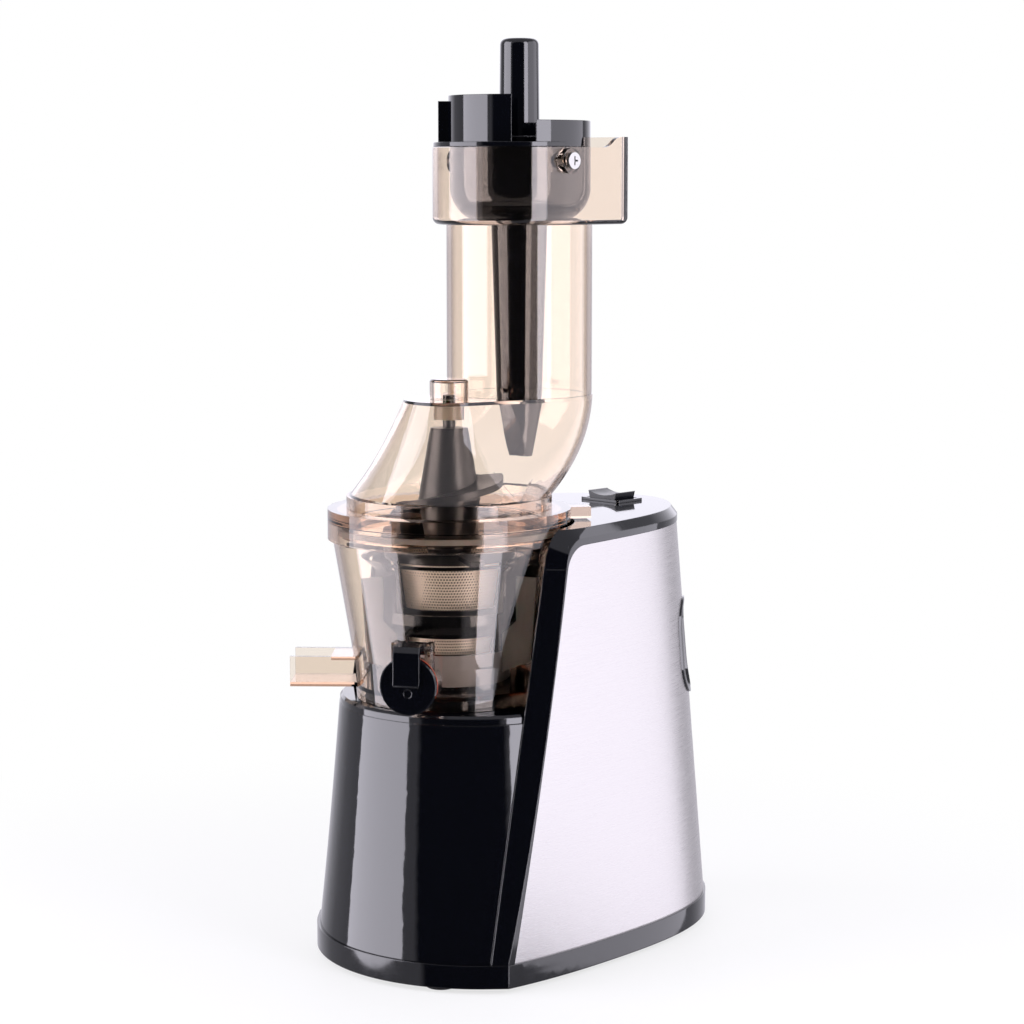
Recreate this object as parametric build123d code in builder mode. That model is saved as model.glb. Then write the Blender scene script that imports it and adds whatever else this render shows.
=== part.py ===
from build123d import *
import math
import os

# A cold press juicer: a motor base with a raised rear housing, and a clear
# bowl, auger, lid, feed chute, hopper and pusher stacked on its drive shaft.
# Millimetres. The origin is on the drive axis at the ground, +Z up, -Y front.

# ---------------------------------------------------------------- clearances
shaft_gap = 0.05        # a steel shaft running in a bush or bearing
slide_gap = 0.3         # pieces that slide or turn past each other
seat_gap = 0.2          # a piece that drops into a pocket
far = 200.0             # longer than anything that it cuts

# ------------------------------------------------------------- base and feet
foot_height = 3.0
foot_radius = 9.0
foot_pin_radius = 3.0
front_foot_x = 40.0
front_foot_y = -46.0
rear_foot_x = 48.0
rear_foot_y = 128.0
pan_floor = 2.5
ring_height = 13.0
ring_wall = 3.0
ring_proud = 1.2
pan_z = foot_height
ring_top_z = pan_z + ring_height

# --------------------------------------------------- plan of the motor base
wing_inner_x = 70.0          # half the gap between the two housing wings
wing_reach = 10.6            # from that gap out to the widest part of a side
base_half_width = wing_inner_x + wing_reach
top_half_width = base_half_width - 1.1
wing_low_y = -37.0           # front corner of a wing at the base ring
wing_high_y = 5.9            # and under the top cover
wing_wall = 2.5
wing_wall_length = 110.0
housing_front_y = -40.0      # the housing form starts ahead of the trim
plan_start_y = -31.0
form_extra = 1.0
# The right half of the plan, from the front to the middle of the back, as
# shares of the half-width and distances back from the drive axis.
base_plan = [
    (0.950, plan_start_y),
    (1.0, 10.0),
    (1.0, 45.0),
    (0.968, 87.0),
    (0.871, 127.0),
    (0.633, 163.0),
    (0.0, 190.0),
]
top_plan = [
    (1.0, plan_start_y),
    (0.985, 18.0),
    (0.940, 46.0),
    (0.850, 90.0),
    (0.725, 122.0),
    (0.520, 146.5),
    (0.0, 168.5),
]
cover_skirt_z = 241.2
cover_edge_z = 245.0
housing_top_z = 250.0
cover_bevel = 3.5
cover_wall = 3.0
cover_hollow_y = 30.0        # the cover is solid ahead of this line
leg_low_z = 229.3            # the cover's front legs end here on the trim
corner_round = 22.0          # round top corner of a wing, seen from the side
corner_rise = 2.5            # the round is drawn to this height above the top

trim_low_depth = 10.5        # depth of the slanted trim bars, low and high
trim_high_depth = 9.6
facet_slope = 0.91           # the trim's front facet runs back this much per mm
trim_proud = 0.4             # trim and cover stand proud of the steel
steel_thickness = 1.0
steel_corner_radius = 15.0
frame_wall = 2.5

# ---------------------------------------------------- front shell and deck
shell_low_y = -69.0
shell_high_y = -58.0
shell_wall = 2.5
deck_z = 146.0
deck_thickness = 5.0
deck_chamfer = 1.5
deck_top_z = deck_z + deck_thickness
shell_half_width = wing_inner_x - slide_gap
deck_end_y = -12.0

# --------------------------------------------------------------- gear train
first_module = 1.0
second_module = 1.5
third_module = 2.0
pinion_teeth = 12
first_teeth = 48
second_teeth = 48
third_teeth = 42
motor_y = 110.0
second_axis_angle = 70.0     # from +X to the second idler, seen from above
first_gear_z = 70.0
second_gear_z = 56.0
third_gear_z = 38.0
first_face = 6.0
second_face = 9.0
third_face = 13.0
pinion_extra = 0.8           # a pinion overhangs its wheel at each end
gear_pin_radius = 4.0
gear_floor_z = 25.0
gear_box_wall = 3.0
gear_box_top_z = 82.0
gear_tip_room = 3.0

third_distance = third_module * (pinion_teeth + third_teeth) / 2
second_distance = second_module * (pinion_teeth + second_teeth) / 2
first_distance = first_module * (pinion_teeth + first_teeth) / 2
second_axis = (
    third_distance * math.cos(math.radians(second_axis_angle)),
    third_distance * math.sin(math.radians(second_axis_angle)),
)
motor_axis = (0.0, motor_y)
span = math.dist(second_axis, motor_axis)
span_angle = math.atan2(motor_axis[1] - second_axis[1], motor_axis[0] - second_axis[0])
swing = math.acos(
    (second_distance**2 + span**2 - first_distance**2) / (2 * second_distance * span)
)
first_axis = (
    second_axis[0] + second_distance * math.cos(span_angle + swing),
    second_axis[1] + second_distance * math.sin(span_angle + swing),
)

# -------------------------------------------------------------------- motor
can_radius = 35.0
can_wall = 2.0
can_height = 86.0
rotor_end_room = 31.0        # bearings, commutator and gaps at the rotor's ends
motor_shaft_radius = 3.0
rotor_radius = 22.0
rotor_height = can_height - rotor_end_room
rotor_slots = 12
magnet_thickness = 8.0
magnet_gap = 1.0
fan_radius = 27.0
fan_height = 9.0
fan_blades = 9
gear_cover_top_z = gear_box_top_z + gear_box_wall
motor_z = gear_cover_top_z
can_top_z = motor_z + can_height
bell_thickness = 4.0

# -------------------------------------------------------------- drive shaft
drive_radius = 7.0
hex_flats = 10.0
hex_top_z = 178.0
seal_radius = 13.0
collar_outer = 26.0
bearing_width = 7.0
bearing_ring = 6.0

# --------------------------------------------------------------------- bowl
bowl_floor_z = 157.0
bowl_floor = 2.5
bowl_wall = 2.6
flange_radius = wing_inner_x - 1.7
bowl_top_radius = flange_radius - 2.8
bowl_step_radius = bowl_top_radius - 11.0
bowl_step_z = 175.0
bowl_skirt_z = deck_top_z + slide_gap
flange_low_z = 241.0
flange_split_z = 251.0
bowl_hub_radius = 13.0
bowl_hub_z = 160.8
bowl_bore = 10.0

juice_angle = 28.0           # from the front towards +X
juice_z = 169.5
juice_bore = 10.0
juice_wall = 2.8
juice_reach = 69.0
cap_radius = 16.0
cap_thickness = 3.5
cap_dimple_radius = 2.3
cap_dimple_depth = 0.6
cap_dimple_drop = 4.2        # below the cap's centre
gasket_thickness = 1.4
lever_width = 15.0
lever_thickness = 2.6
lever_hinge_z = 189.0
lever_hinge_reach = 64.5
lever_pin_radius = 1.6
lever_tip_z = 169.0

pulp_angle = -47.0
pulp_reach = 89.0
pulp_width = 30.0
pulp_low_z = 158.0
pulp_high_z = 175.0
pulp_wall = 2.2
pulp_open_from = 66.0

# ------------------------------------------------- strainer, brush and auger
strainer_low_radius = 26.0
strainer_waist_radius = 27.2
strainer_high_radius = 33.5
strainer_low_z = 168.0
strainer_waist_z = 195.0
strainer_rim_z = 230.0
strainer_top_z = 236.0
strainer_wall = 2.3
mesh_thickness = 0.8
band_low_z = 192.0
band_high_z = 204.0
foot_band_z = 176.0
rib_count = 3
rib_start = 16.0             # degrees, so the ribs stand behind the cage's posts
rib_width = 5.0
strainer_rim_proud = 1.5
strainer_arms = 3
strainer_arm_width = 8.0
strainer_arm_height = 3.0

brush_low_radius = 32.0
brush_high_radius = 40.5
brush_flare_radius = 47.5
brush_wall = 2.2
brush_step_low_z = 189.0
brush_step_high_z = 197.0
brush_flare_z = 225.0
brush_high_z = 231.0
brush_posts = 3
brush_window_turn = 46.0     # half the opening between two posts, degrees
brush_window_low_z = 180.0
brush_window_high_z = 203.0   # foot of the upper row
window_margin = 2.0
blade_thickness = 2.0
blade_gap = 0.8

auger_radius = 25.0
auger_screw_low_z = 171.0
auger_screw_z = 232.0
auger_core_low = 20.0
auger_core_high = 12.0
auger_pitch = 30.0
flight_thickness = 4.0
feed_wing_radius = 30.0
feed_wing_top_z = 274.0
auger_neck_low_radius = 17.5
auger_neck_low_z = 262.0
auger_neck_radius = 10.5
auger_neck_drop = 15.5       # below the lid's top plate
auger_pin_radius = 3.5
auger_pin_rise = 2.5         # above the lid's top plate
socket_radius = 7.4
socket_top_z = 181.0

sun_teeth = 20
idler_teeth = 12
brush_gear_module = 1.0
ring_teeth = sun_teeth + 2 * idler_teeth
brush_gear_height = 5.0
brush_gear_z = 161.5
ring_gear_wall = 3.0
idler_pin_radius = 2.0

# ---------------------------------------------------------------------- lid
lid_ring_radius = 57.7
lid_flange_top_z = flange_split_z + 7.0
lid_ring_top_z = lid_flange_top_z + 7.0
lid_waist_z = lid_ring_top_z + 25.0
lid_top_z = lid_waist_z + 28.5
lid_wall = 2.5
lid_foot_radius = 56.0
lid_foot_shift = 1.5
lid_waist_radius = 39.0
lid_waist_chute_radius = 48.0
lid_waist_chute_y = 38.0
lid_nose_radius = 25.2
lid_skirt_depth = 8.0
lug_angle = 53.0
lug_reach = 79.5
lug_width = 14.0
knob_radius = 10.8
knob_height = 11.5
knob_wall = 2.0
auger_neck_z = lid_top_z - auger_neck_drop
auger_pin_z = lid_top_z + auger_pin_rise

# --------------------------------------------------- chute, hopper and flap
chute_y = 56.0
chute_radius = 41.5
chute_wall = 2.6
hopper_floor_z = 415.0
hopper_floor = 3.0
hopper_wall = 2.8
hopper_half_width = 45.0
hopper_front_y = 50.0
hopper_back_y = 101.0
hopper_rim_z = 458.0
hopper_back_rim_z = 464.0
hopper_edge_radius = 5.0
rim_step_y = (78.0, 93.0)    # the rim rises in a soft step between these
pivot_y = 47.5
pivot_z = 450.5
boss_radius = 7.0
boss_height = 4.0
boss_room = 1.2              # the flap's bosses clear the round front wall
pivot_radius = 2.5
screw_head_radius = 4.6

cup_radius = 39.5
cup_wall = 2.4
cup_bottom_z = 416.0
cup_bottom_round = 20.0
cup_rim_z = 458.3
cup_flange = 2.6
cup_front_wall_z = 487.0
cup_back_wall_z = 473.0
cup_upper_radius = 40.4
sleeve_gap = 0.5
sleeve_wall = 2.0
cup_slot_angle = -42.0
cup_slot_width = 13.5
fin_angle = 226.0            # a stiffening fin on the flap's front wall
fin_reach = 46.0
fin_width = 3.0
fin_top_z = 484.0

pusher_top_z = 519.0
handle_radius = 11.0
pusher_body_radius = 16.0
pusher_foot_radius = 13.0
pusher_foot_z = 317.0
pusher_tip_z = 283.0
pusher_tip_width = 4.0
pusher_tip_radius = 7.0
collar_radius = 18.5
collar_height = 3.0

# ------------------------------------------------ controls and electric parts
rocker_y = 135.0
bezel_length = 31.0
bezel_width = 22.0
bezel_height = 1.6
rocker_length = 25.0
rocker_width = 16.5
rocker_high = 5.6
switch_depth = 22.0
grip_height = 57.0
grip_width = 40.0
grip_depth = 12.0
grip_wall = 2.5
grip_proud = 1.2
grip_z = 167.0
grip_aim_y = 84.0
grip_azimuth = 54.0
inlet_width = 26.0
inlet_height = 19.0
inlet_depth = 18.0
inlet_z = 36.0
inlet_proud = 1.0
inlet_pin_radius = 1.2
inlet_pin_length = 15.0
board_length = 62.0
board_width = 46.0
board_thickness = 1.6
standoff_height = 12.0
standoff_radius = 3.0
standoff_span = 59.0


# ------------------------------------------------------------------- helpers
def housing_points(z, inset):
    """Right half of the housing's plan at a height, inset along its normals."""
    share = (z - ring_top_z) / (cover_skirt_z - ring_top_z)
    points = []
    for (low_share, low_y), (high_share, high_y) in zip(base_plan, top_plan):
        low_x = low_share * base_half_width
        high_x = high_share * top_half_width
        points.append((low_x + (high_x - low_x) * share, low_y + (high_y - low_y) * share))
    mirrored = (-points[-2][0], points[-2][1])
    inner = []
    for before, point, after in zip([points[0], *points], points, [*points[1:], mirrored]):
        run = math.dist(before, after)
        normal = ((after[1] - before[1]) / run, (before[0] - after[0]) / run)
        inner.append((point[0] - normal[0] * inset, point[1] - normal[1] * inset))
    return inner


def housing_section(z, inset, shape_z=None):
    """One closed plan section of the housing, drawn at height z."""
    points = housing_points(z if shape_z is None else shape_z, inset)
    left = [(-x, y) for x, y in reversed(points[:-1])]
    half = points[0][0]
    with BuildSketch(Plane.XY.offset(z)) as section:
        with BuildLine():
            Line((-half, housing_front_y), (half, housing_front_y))
            Line((half, housing_front_y), points[0])
            Spline(*points, *left)
            Line(left[-1], (-half, housing_front_y))
        make_face()
    return section.sketch


def housing_loft(inset, mode=Mode.ADD):
    """The whole housing form, a little taller than the pieces cut from it."""
    low = housing_section(ring_top_z - form_extra, inset)
    high = housing_section(cover_skirt_z + form_extra, inset)
    loft([low, high], ruled=True, mode=mode)


def trim_side_view(corner_radius):
    """The side view behind the slanted trim, with a round top corner or not."""
    low = wing_low_y + trim_low_depth
    high = wing_high_y + trim_high_depth
    with BuildSketch(Plane.YZ) as side_view:
        with BuildLine():
            Polyline(
                (low, ring_top_z),
                (high, cover_skirt_z),
                (far, cover_skirt_z),
                (far, ring_top_z),
                close=True,
            )
        make_face()
        if corner_radius:
            corner = side_view.vertices().group_by(Axis.Y)[-1].sort_by(Axis.X)[0]
            fillet(corner, corner_radius)
    return side_view.sketch


def behind_trim(corner_radius):
    """Keep only what stands behind the slanted trim."""
    extrude(trim_side_view(corner_radius), amount=far, both=True, mode=Mode.INTERSECT)


def gear_sketch(teeth, module, slack=0.0, turn=0.0):
    """Spur gear outline with straight flanks and ample backlash."""
    pitch = teeth * module / 2
    root = pitch - 1.2 * module + slack
    tip = pitch + 0.85 * module + slack
    half_root = 0.30 * math.pi * module + slack
    half_tip = 0.09 * math.pi * module + slack
    Circle(root)
    with PolarLocations(0, teeth, start_angle=turn):
        Polygon(
            (root - module, -half_root),
            (root, -half_root),
            (tip, -half_tip),
            (tip, half_tip),
            (root, half_root),
            (root - module, half_root),
            align=None,
        )


def gear_blank(axis, z, height, teeth, module, turn=0.0):
    """A solid gear standing at a height on an axis."""
    with BuildSketch(Plane((axis[0], axis[1], z))) as outline:
        gear_sketch(teeth, module, turn=turn)
    extrude(outline.sketch, amount=height)


def disc(axis, low, high, radius, inner=0.0, mode=Mode.ADD):
    """A disc or ring between two heights about an upright axis."""
    with BuildSketch(Plane((axis[0], axis[1], low))) as ring:
        Circle(radius)
        if inner:
            Circle(inner, mode=Mode.SUBTRACT)
    extrude(ring.sketch, amount=high - low, mode=mode)


def hull_section(z, near_radius, far_radius, far_y, inset=0.0):
    """Two circles on the centre line and their common tangents."""
    near = near_radius - inset
    wide = far_radius - inset
    lean = math.asin((wide - near) / far_y)
    near_point = (near * math.cos(lean), -near * math.sin(lean))
    wide_point = (wide * math.cos(lean), far_y - wide * math.sin(lean))
    with BuildSketch(Plane.XY.offset(z)) as section:
        with BuildLine():
            ThreePointArc((-near_point[0], near_point[1]), (0, -near), near_point)
            Line(near_point, wide_point)
            ThreePointArc(wide_point, (0, far_y + wide), (-wide_point[0], wide_point[1]))
            Line((-wide_point[0], wide_point[1]), (-near_point[0], near_point[1]))
        make_face()
    return section.sketch


def radial_plane(angle, reach, z):
    """A plane facing outwards at an angle from the front, its x level."""
    turn = math.radians(angle)
    outward = (math.sin(turn), -math.cos(turn), 0)
    level = (math.cos(turn), math.sin(turn), 0)
    point = (outward[0] * reach, outward[1] * reach, z)
    return Plane(origin=point, x_dir=level, z_dir=outward)


def save(part, label):
    """Label a finished piece and write it."""
    part.label = label
    export_step(part, f"parts/{label}.step")


os.makedirs("parts", exist_ok=True)
centre = (0.0, 0.0)


# =============================================================== motor base
def pan_outline(z, inset):
    """Plan of the base ring: round front, bevelled corners, oval back."""
    grow = ring_proud - inset
    points = housing_points(ring_top_z, -grow)
    left = [(-x, y) for x, y in reversed(points[:-1])]
    shell_end = (wing_inner_x + grow, wing_low_y - grow)
    left_end = (-shell_end[0], shell_end[1])
    with BuildSketch(Plane.XY.offset(z)) as outline:
        with BuildLine():
            ThreePointArc(left_end, (0, shell_low_y - grow), shell_end)
            Line(shell_end, points[0])
            Spline(*points, *left)
            Line(left[-1], left_end)
        make_face()
    return outline.sketch


foot_spots = [
    (front_foot_x, front_foot_y),
    (-front_foot_x, front_foot_y),
    (rear_foot_x, rear_foot_y),
    (-rear_foot_x, rear_foot_y),
]
pan_floor_z = pan_z + pan_floor
post_spots = [(44, -14), (-44, -14), (34, 84), (-34, 68)]
post_radius = 5.0
screw_radius = 1.5
screw_head = 3.4
screw_head_height = 2.0
screw_length = 14.0

with BuildPart() as base_pan:
    extrude(pan_outline(pan_z, 0), amount=ring_height)
    extrude(pan_outline(pan_floor_z, ring_wall), amount=ring_height, mode=Mode.SUBTRACT)
    with BuildSketch(Plane.XY.offset(pan_floor_z)):
        with Locations(*post_spots):
            Circle(post_radius)
    extrude(amount=gear_floor_z - gear_box_wall - pan_floor_z)
    with BuildSketch(Plane.XY.offset(pan_z)):
        with Locations(*post_spots):
            Circle(screw_radius + shaft_gap)
    extrude(amount=screw_length + 1, mode=Mode.SUBTRACT)
    with BuildSketch(Plane.XY.offset(pan_z)):
        with Locations(*post_spots):
            Circle(screw_head + seat_gap)
    extrude(amount=screw_head_height, mode=Mode.SUBTRACT)
    with BuildSketch(Plane.XY.offset(pan_z)):
        with Locations(*foot_spots):
            Circle(foot_pin_radius + seat_gap)
    extrude(amount=pan_floor, mode=Mode.SUBTRACT)
    with BuildSketch(Plane.XY.offset(pan_z)):
        with Locations((0, 150)):
            with GridLocations(9, 0, 6, 1):
                SlotOverall(26, 3.5, rotation=90)
    extrude(amount=pan_floor, mode=Mode.SUBTRACT)
save(base_pan.part, "base_pan")

with BuildPart() as feet:
    with BuildSketch(Plane.XY):
        with Locations(*foot_spots):
            Circle(foot_radius)
    extrude(amount=foot_height)
    chamfer(feet.faces().group_by(Axis.Z)[0].edges(), 0.8)
    with BuildSketch(Plane.XY.offset(foot_height)):
        with Locations(*foot_spots):
            Circle(foot_pin_radius)
    extrude(amount=pan_floor)
save(feet.part, "rubber_feet")


with BuildPart() as base_screws:
    with BuildSketch(Plane.XY.offset(pan_z)):
        with Locations(*post_spots):
            Circle(screw_head)
    extrude(amount=screw_head_height)
    with BuildSketch(Plane.XY.offset(pan_z)):
        with Locations(*post_spots):
            Circle(screw_radius)
    extrude(amount=screw_length)
    with BuildSketch(Plane.XY.offset(pan_z)):
        with Locations(*post_spots):
            Rectangle(3.6, 0.9)
            Rectangle(0.9, 3.6)
    extrude(amount=1.2, mode=Mode.SUBTRACT)
save(base_screws.part, "base_screws")


def shell_crescent(z, front_y, end_y, half, wall):
    """Plan of the front shell at one height: an arc of even wall."""
    with BuildSketch(Plane.XY.offset(z)) as crescent:
        with BuildLine():
            ThreePointArc((-half, end_y), (0, front_y), (half, end_y))
            Line((half, end_y), (half - wall, end_y))
            ThreePointArc((half - wall, end_y), (0, front_y + wall), (wall - half, end_y))
            Line((wall - half, end_y), (-half, end_y))
        make_face()
    return crescent.sketch


with BuildPart() as front_shell:
    low_arc = shell_crescent(ring_top_z, shell_low_y, wing_low_y, shell_half_width, shell_wall)
    high_arc = shell_crescent(deck_z, shell_high_y, deck_end_y, shell_half_width, shell_wall)
    loft([low_arc, high_arc], ruled=True)
save(front_shell.part, "front_shell")


def deck_outline(z, inset):
    """Plan of the deck: the shell's front arc and the wall's round back."""
    back_radius = shell_half_width - inset
    end_y = deck_end_y + inset
    arc_x = math.sqrt(back_radius**2 - end_y**2)
    with BuildSketch(Plane.XY.offset(z)) as outline:
        with BuildLine():
            ThreePointArc((-arc_x, end_y), (0, shell_high_y + inset), (arc_x, end_y))
            ThreePointArc((arc_x, end_y), (0, back_radius), (-arc_x, end_y))
        make_face()
    return outline.sketch


with BuildPart() as deck:
    extrude(deck_outline(deck_z, 0), amount=deck_thickness)
    chamfer(deck.faces().group_by(Axis.Z)[-1].edges(), deck_chamfer)
    disc(centre, deck_z, bowl_floor_z - slide_gap - 2, collar_outer)
    disc(centre, deck_z - 1, far, drive_radius + 1.0, mode=Mode.SUBTRACT)
    disc(centre, deck_z - 1, deck_top_z, seal_radius, mode=Mode.SUBTRACT)
save(deck.part, "deck")

with BuildPart() as shaft_seal:
    disc(centre, deck_z, deck_top_z, seal_radius, drive_radius + shaft_gap)
save(shaft_seal.part, "shaft_seal")

# ------------------------------------------------------------- rear housing
with BuildPart() as housing_form:
    housing_loft(0)
grip_ray = Axis(
    (0, grip_aim_y, grip_z),
    (math.cos(math.radians(grip_azimuth)), math.sin(math.radians(grip_azimuth)), 0),
)
grip_hits = housing_form.part.find_intersection_points(grip_ray)
grip_point = max((point for point, _ in grip_hits), key=lambda point: point.X)


def grip_plane(side):
    """The face plane of the grip on the right (1) or left (-1) corner."""
    turn = math.radians(grip_azimuth)
    outward = (side * math.cos(turn), math.sin(turn), 0)
    level = (-side * math.sin(turn), math.cos(turn), 0)
    return Plane(
        origin=(side * grip_point.X, grip_point.Y, grip_z), x_dir=level, z_dir=outward
    )


def grip_prism(side, inset, low, high, mode):
    """A rounded upright bar through the housing wall at a grip."""
    radius = grip_width / 2 - inset - 1
    with BuildSketch(grip_plane(side).offset(low)) as outline:
        RectangleRounded(grip_width - 2 * inset, grip_height - 2 * inset, radius)
    extrude(outline.sketch, amount=high - low, mode=mode)


inlet_back_y = housing_points(inlet_z, 0)[-1][1]


def inlet_prism(grow, front_y, back_y, mode):
    """A level bar through the back wall at the power inlet."""
    with BuildSketch(Plane.XZ.offset(-back_y)) as outline:
        with Locations((0, inlet_z)):
            RectangleRounded(inlet_width + 2 * grow, inlet_height + 2 * grow, 3 + grow)
    extrude(outline.sketch, amount=back_y - front_y, mode=mode)


with BuildPart() as steel_wrap:
    housing_loft(0)
    housing_loft(steel_thickness, mode=Mode.SUBTRACT)
    behind_trim(steel_corner_radius)
    for side in (1, -1):
        grip_prism(side, -seat_gap, -grip_depth, grip_depth, Mode.SUBTRACT)
    inlet_prism(seat_gap, inlet_back_y - far / 4, inlet_back_y + far / 4, Mode.SUBTRACT)
save(steel_wrap.part, "steel_wrap")

with BuildPart() as rear_frame:
    housing_loft(steel_thickness)
    housing_loft(steel_thickness + frame_wall, mode=Mode.SUBTRACT)
    with BuildSketch(Plane.XY.offset(ring_top_z)):
        with Locations((wing_inner_x + wing_wall / 2, 0), (-wing_inner_x - wing_wall / 2, 0)):
            Rectangle(wing_wall, wing_wall_length)
    extrude(amount=cover_skirt_z - ring_top_z)
    with BuildSketch(Plane.XY.offset(deck_z)):
        Circle(wing_inner_x + wing_wall)
        Circle(wing_inner_x, mode=Mode.SUBTRACT)
        with Locations((0, -far / 2)):
            Rectangle(far, far, mode=Mode.SUBTRACT)
    extrude(amount=cover_skirt_z - deck_z)
    behind_trim(0)
    for side in (1, -1):
        grip_prism(side, -seat_gap, -grip_depth - 10, grip_depth, Mode.SUBTRACT)
    inlet_prism(seat_gap, inlet_back_y - far / 4, inlet_back_y + far / 4, Mode.SUBTRACT)
save(rear_frame.part, "rear_frame")


def trim_bar(side, low_z, high_z, mode=Mode.ADD):
    """The slanted bar at the front of a wing, between two heights."""
    sections = []
    for z in (low_z, high_z):
        share = (z - ring_top_z) / (cover_skirt_z - ring_top_z)
        front_y = wing_low_y + (wing_high_y - wing_low_y) * share
        depth = trim_low_depth + (trim_high_depth - trim_low_depth) * share
        with BuildSketch(Plane.XY.offset(z)) as section:
            with BuildLine():
                Polyline(
                    (side * wing_inner_x, front_y),
                    (side * (wing_inner_x + depth / facet_slope), front_y + depth),
                    (side * wing_inner_x, front_y + depth),
                    close=True,
                )
            make_face()
        sections.append(section.sketch)
    loft(sections, ruled=True, mode=mode)


for side, label in ((1, "trim_right"), (-1, "trim_left")):
    with BuildPart() as trim:
        trim_bar(side, ring_top_z, leg_low_z)
        housing_loft(-trim_proud, mode=Mode.INTERSECT)
    save(trim.part, label)

for side, label in ((1, "grip_cup_right"), (-1, "grip_cup_left")):
    with BuildPart() as grip_cup:
        grip_prism(side, 0, -grip_depth, grip_depth, Mode.ADD)
        housing_loft(-grip_proud, mode=Mode.INTERSECT)
        grip_prism(side, grip_wall, grip_wall - grip_depth, grip_depth, Mode.SUBTRACT)
    save(grip_cup.part, label)

inlet_pin_spots = [(-4, inlet_z), (4, inlet_z)]
with BuildPart() as power_inlet:
    inlet_prism(0, inlet_back_y - inlet_depth, inlet_back_y + inlet_proud, Mode.ADD)
    with BuildSketch(Plane.XZ.offset(-inlet_back_y - inlet_proud)):
        with Locations((0, inlet_z)):
            SlotOverall(inlet_width - 8, inlet_height - 9)
    extrude(amount=inlet_depth - 4, mode=Mode.SUBTRACT)
    with BuildSketch(Plane.XZ.offset(inlet_depth - inlet_back_y)):
        with Locations(*inlet_pin_spots):
            Circle(inlet_pin_radius)
    extrude(amount=-inlet_depth, mode=Mode.SUBTRACT)
save(power_inlet.part, "power_inlet")

with BuildPart() as inlet_pins:
    with BuildSketch(Plane.XZ.offset(inlet_depth + 3 - inlet_back_y)):
        with Locations(*inlet_pin_spots):
            Circle(inlet_pin_radius)
    extrude(amount=-inlet_pin_length)
save(inlet_pins.part, "inlet_pins")

cover_bore = wing_inner_x + 0.4
with BuildPart() as cover_hollow:
    hollow_low = housing_section(cover_skirt_z, cover_wall)
    hollow_high = housing_section(
        housing_top_z - cover_wall, cover_bevel + cover_wall, cover_skirt_z
    )
    loft([hollow_low, hollow_high], ruled=True)
    Cylinder(cover_bore + cover_wall, 2 * housing_top_z + far, mode=Mode.SUBTRACT)
    with Locations((0, cover_hollow_y - far / 2, housing_top_z)):
        Box(2 * far, far, far, mode=Mode.SUBTRACT)

# The wing's top corner is round from the side, and its outer facet follows
# the round: the side view is drawn at the wing's inner face and tapers out.
round_top_z = housing_top_z + corner_rise
front_slope = (wing_high_y - wing_low_y) / (cover_skirt_z - ring_top_z)
facet_taper = math.degrees(math.atan(facet_slope * math.cos(math.atan(front_slope))))
round_low_z = leg_low_z - 50
round_back_y = 100.0


def round_side_view(plane):
    """Side view of a wing's upper part with its round front corner."""
    with BuildSketch(plane) as side_view:
        with BuildLine():
            Polyline(
                (wing_low_y + front_slope * (round_low_z - ring_top_z), round_low_z),
                (wing_low_y + front_slope * (round_top_z - ring_top_z), round_top_z),
                (round_back_y, round_top_z),
                (round_back_y, round_low_z),
                close=True,
            )
        make_face()
        corner = side_view.vertices().group_by(Axis.Y)[-1].sort_by(Axis.X)[0]
        fillet(corner, corner_round)
    return side_view.sketch


with BuildPart() as round_block:
    with Locations((0, -far / 2 + round_back_y / 2, leg_low_z + far / 2)):
        Box(2 * far, far, far)
    extrude(round_side_view(Plane.YZ), amount=far, both=True, mode=Mode.SUBTRACT)

wing_limit = wing_reach + 4.0
with BuildPart() as facet_block:
    with Locations((wing_inner_x, -far / 2 + round_back_y / 2, leg_low_z)):
        Box(wing_limit, far, far / 4, align=(Align.MIN, Align.CENTER, Align.MIN))
    facet_view = round_side_view(Plane.YZ.offset(wing_inner_x))
    extrude(facet_view, amount=wing_limit + 1, taper=facet_taper, mode=Mode.SUBTRACT)

with BuildPart() as corner_fill:
    housing_loft(-trim_proud)
    housing_loft(steel_thickness, mode=Mode.SUBTRACT)
    extrude(trim_side_view(0), amount=far, both=True, mode=Mode.INTERSECT)
    extrude(trim_side_view(steel_corner_radius), amount=far, both=True, mode=Mode.SUBTRACT)

with BuildPart() as cover_legs:
    for side in (1, -1):
        trim_bar(side, leg_low_z, cover_skirt_z)
    housing_loft(-trim_proud, mode=Mode.INTERSECT)

rocker_spot = (0, rocker_y)
with BuildPart() as top_cover:
    skirt = housing_section(cover_skirt_z, -trim_proud)
    extrude(skirt, amount=cover_edge_z - cover_skirt_z)
    bevel_low = housing_section(cover_edge_z, -trim_proud, cover_skirt_z)
    bevel_high = housing_section(housing_top_z, cover_bevel, cover_skirt_z)
    loft([bevel_low, bevel_high], ruled=True)
    Cylinder(cover_bore, 2 * housing_top_z + far, mode=Mode.SUBTRACT)
    add(cover_hollow.part, mode=Mode.SUBTRACT)
    add(round_block.part, mode=Mode.SUBTRACT)
    add(cover_legs.part)
    add(corner_fill.part)
    add(facet_block.part, mode=Mode.SUBTRACT)
    add(mirror(facet_block.part, about=Plane.YZ), mode=Mode.SUBTRACT)
    with BuildSketch(Plane.XY.offset(cover_skirt_z)):
        with Locations(rocker_spot):
            Rectangle(rocker_length + 3, rocker_width + 2.5)
    extrude(amount=far / 4, mode=Mode.SUBTRACT)
save(top_cover.part, "top_cover")

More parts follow.
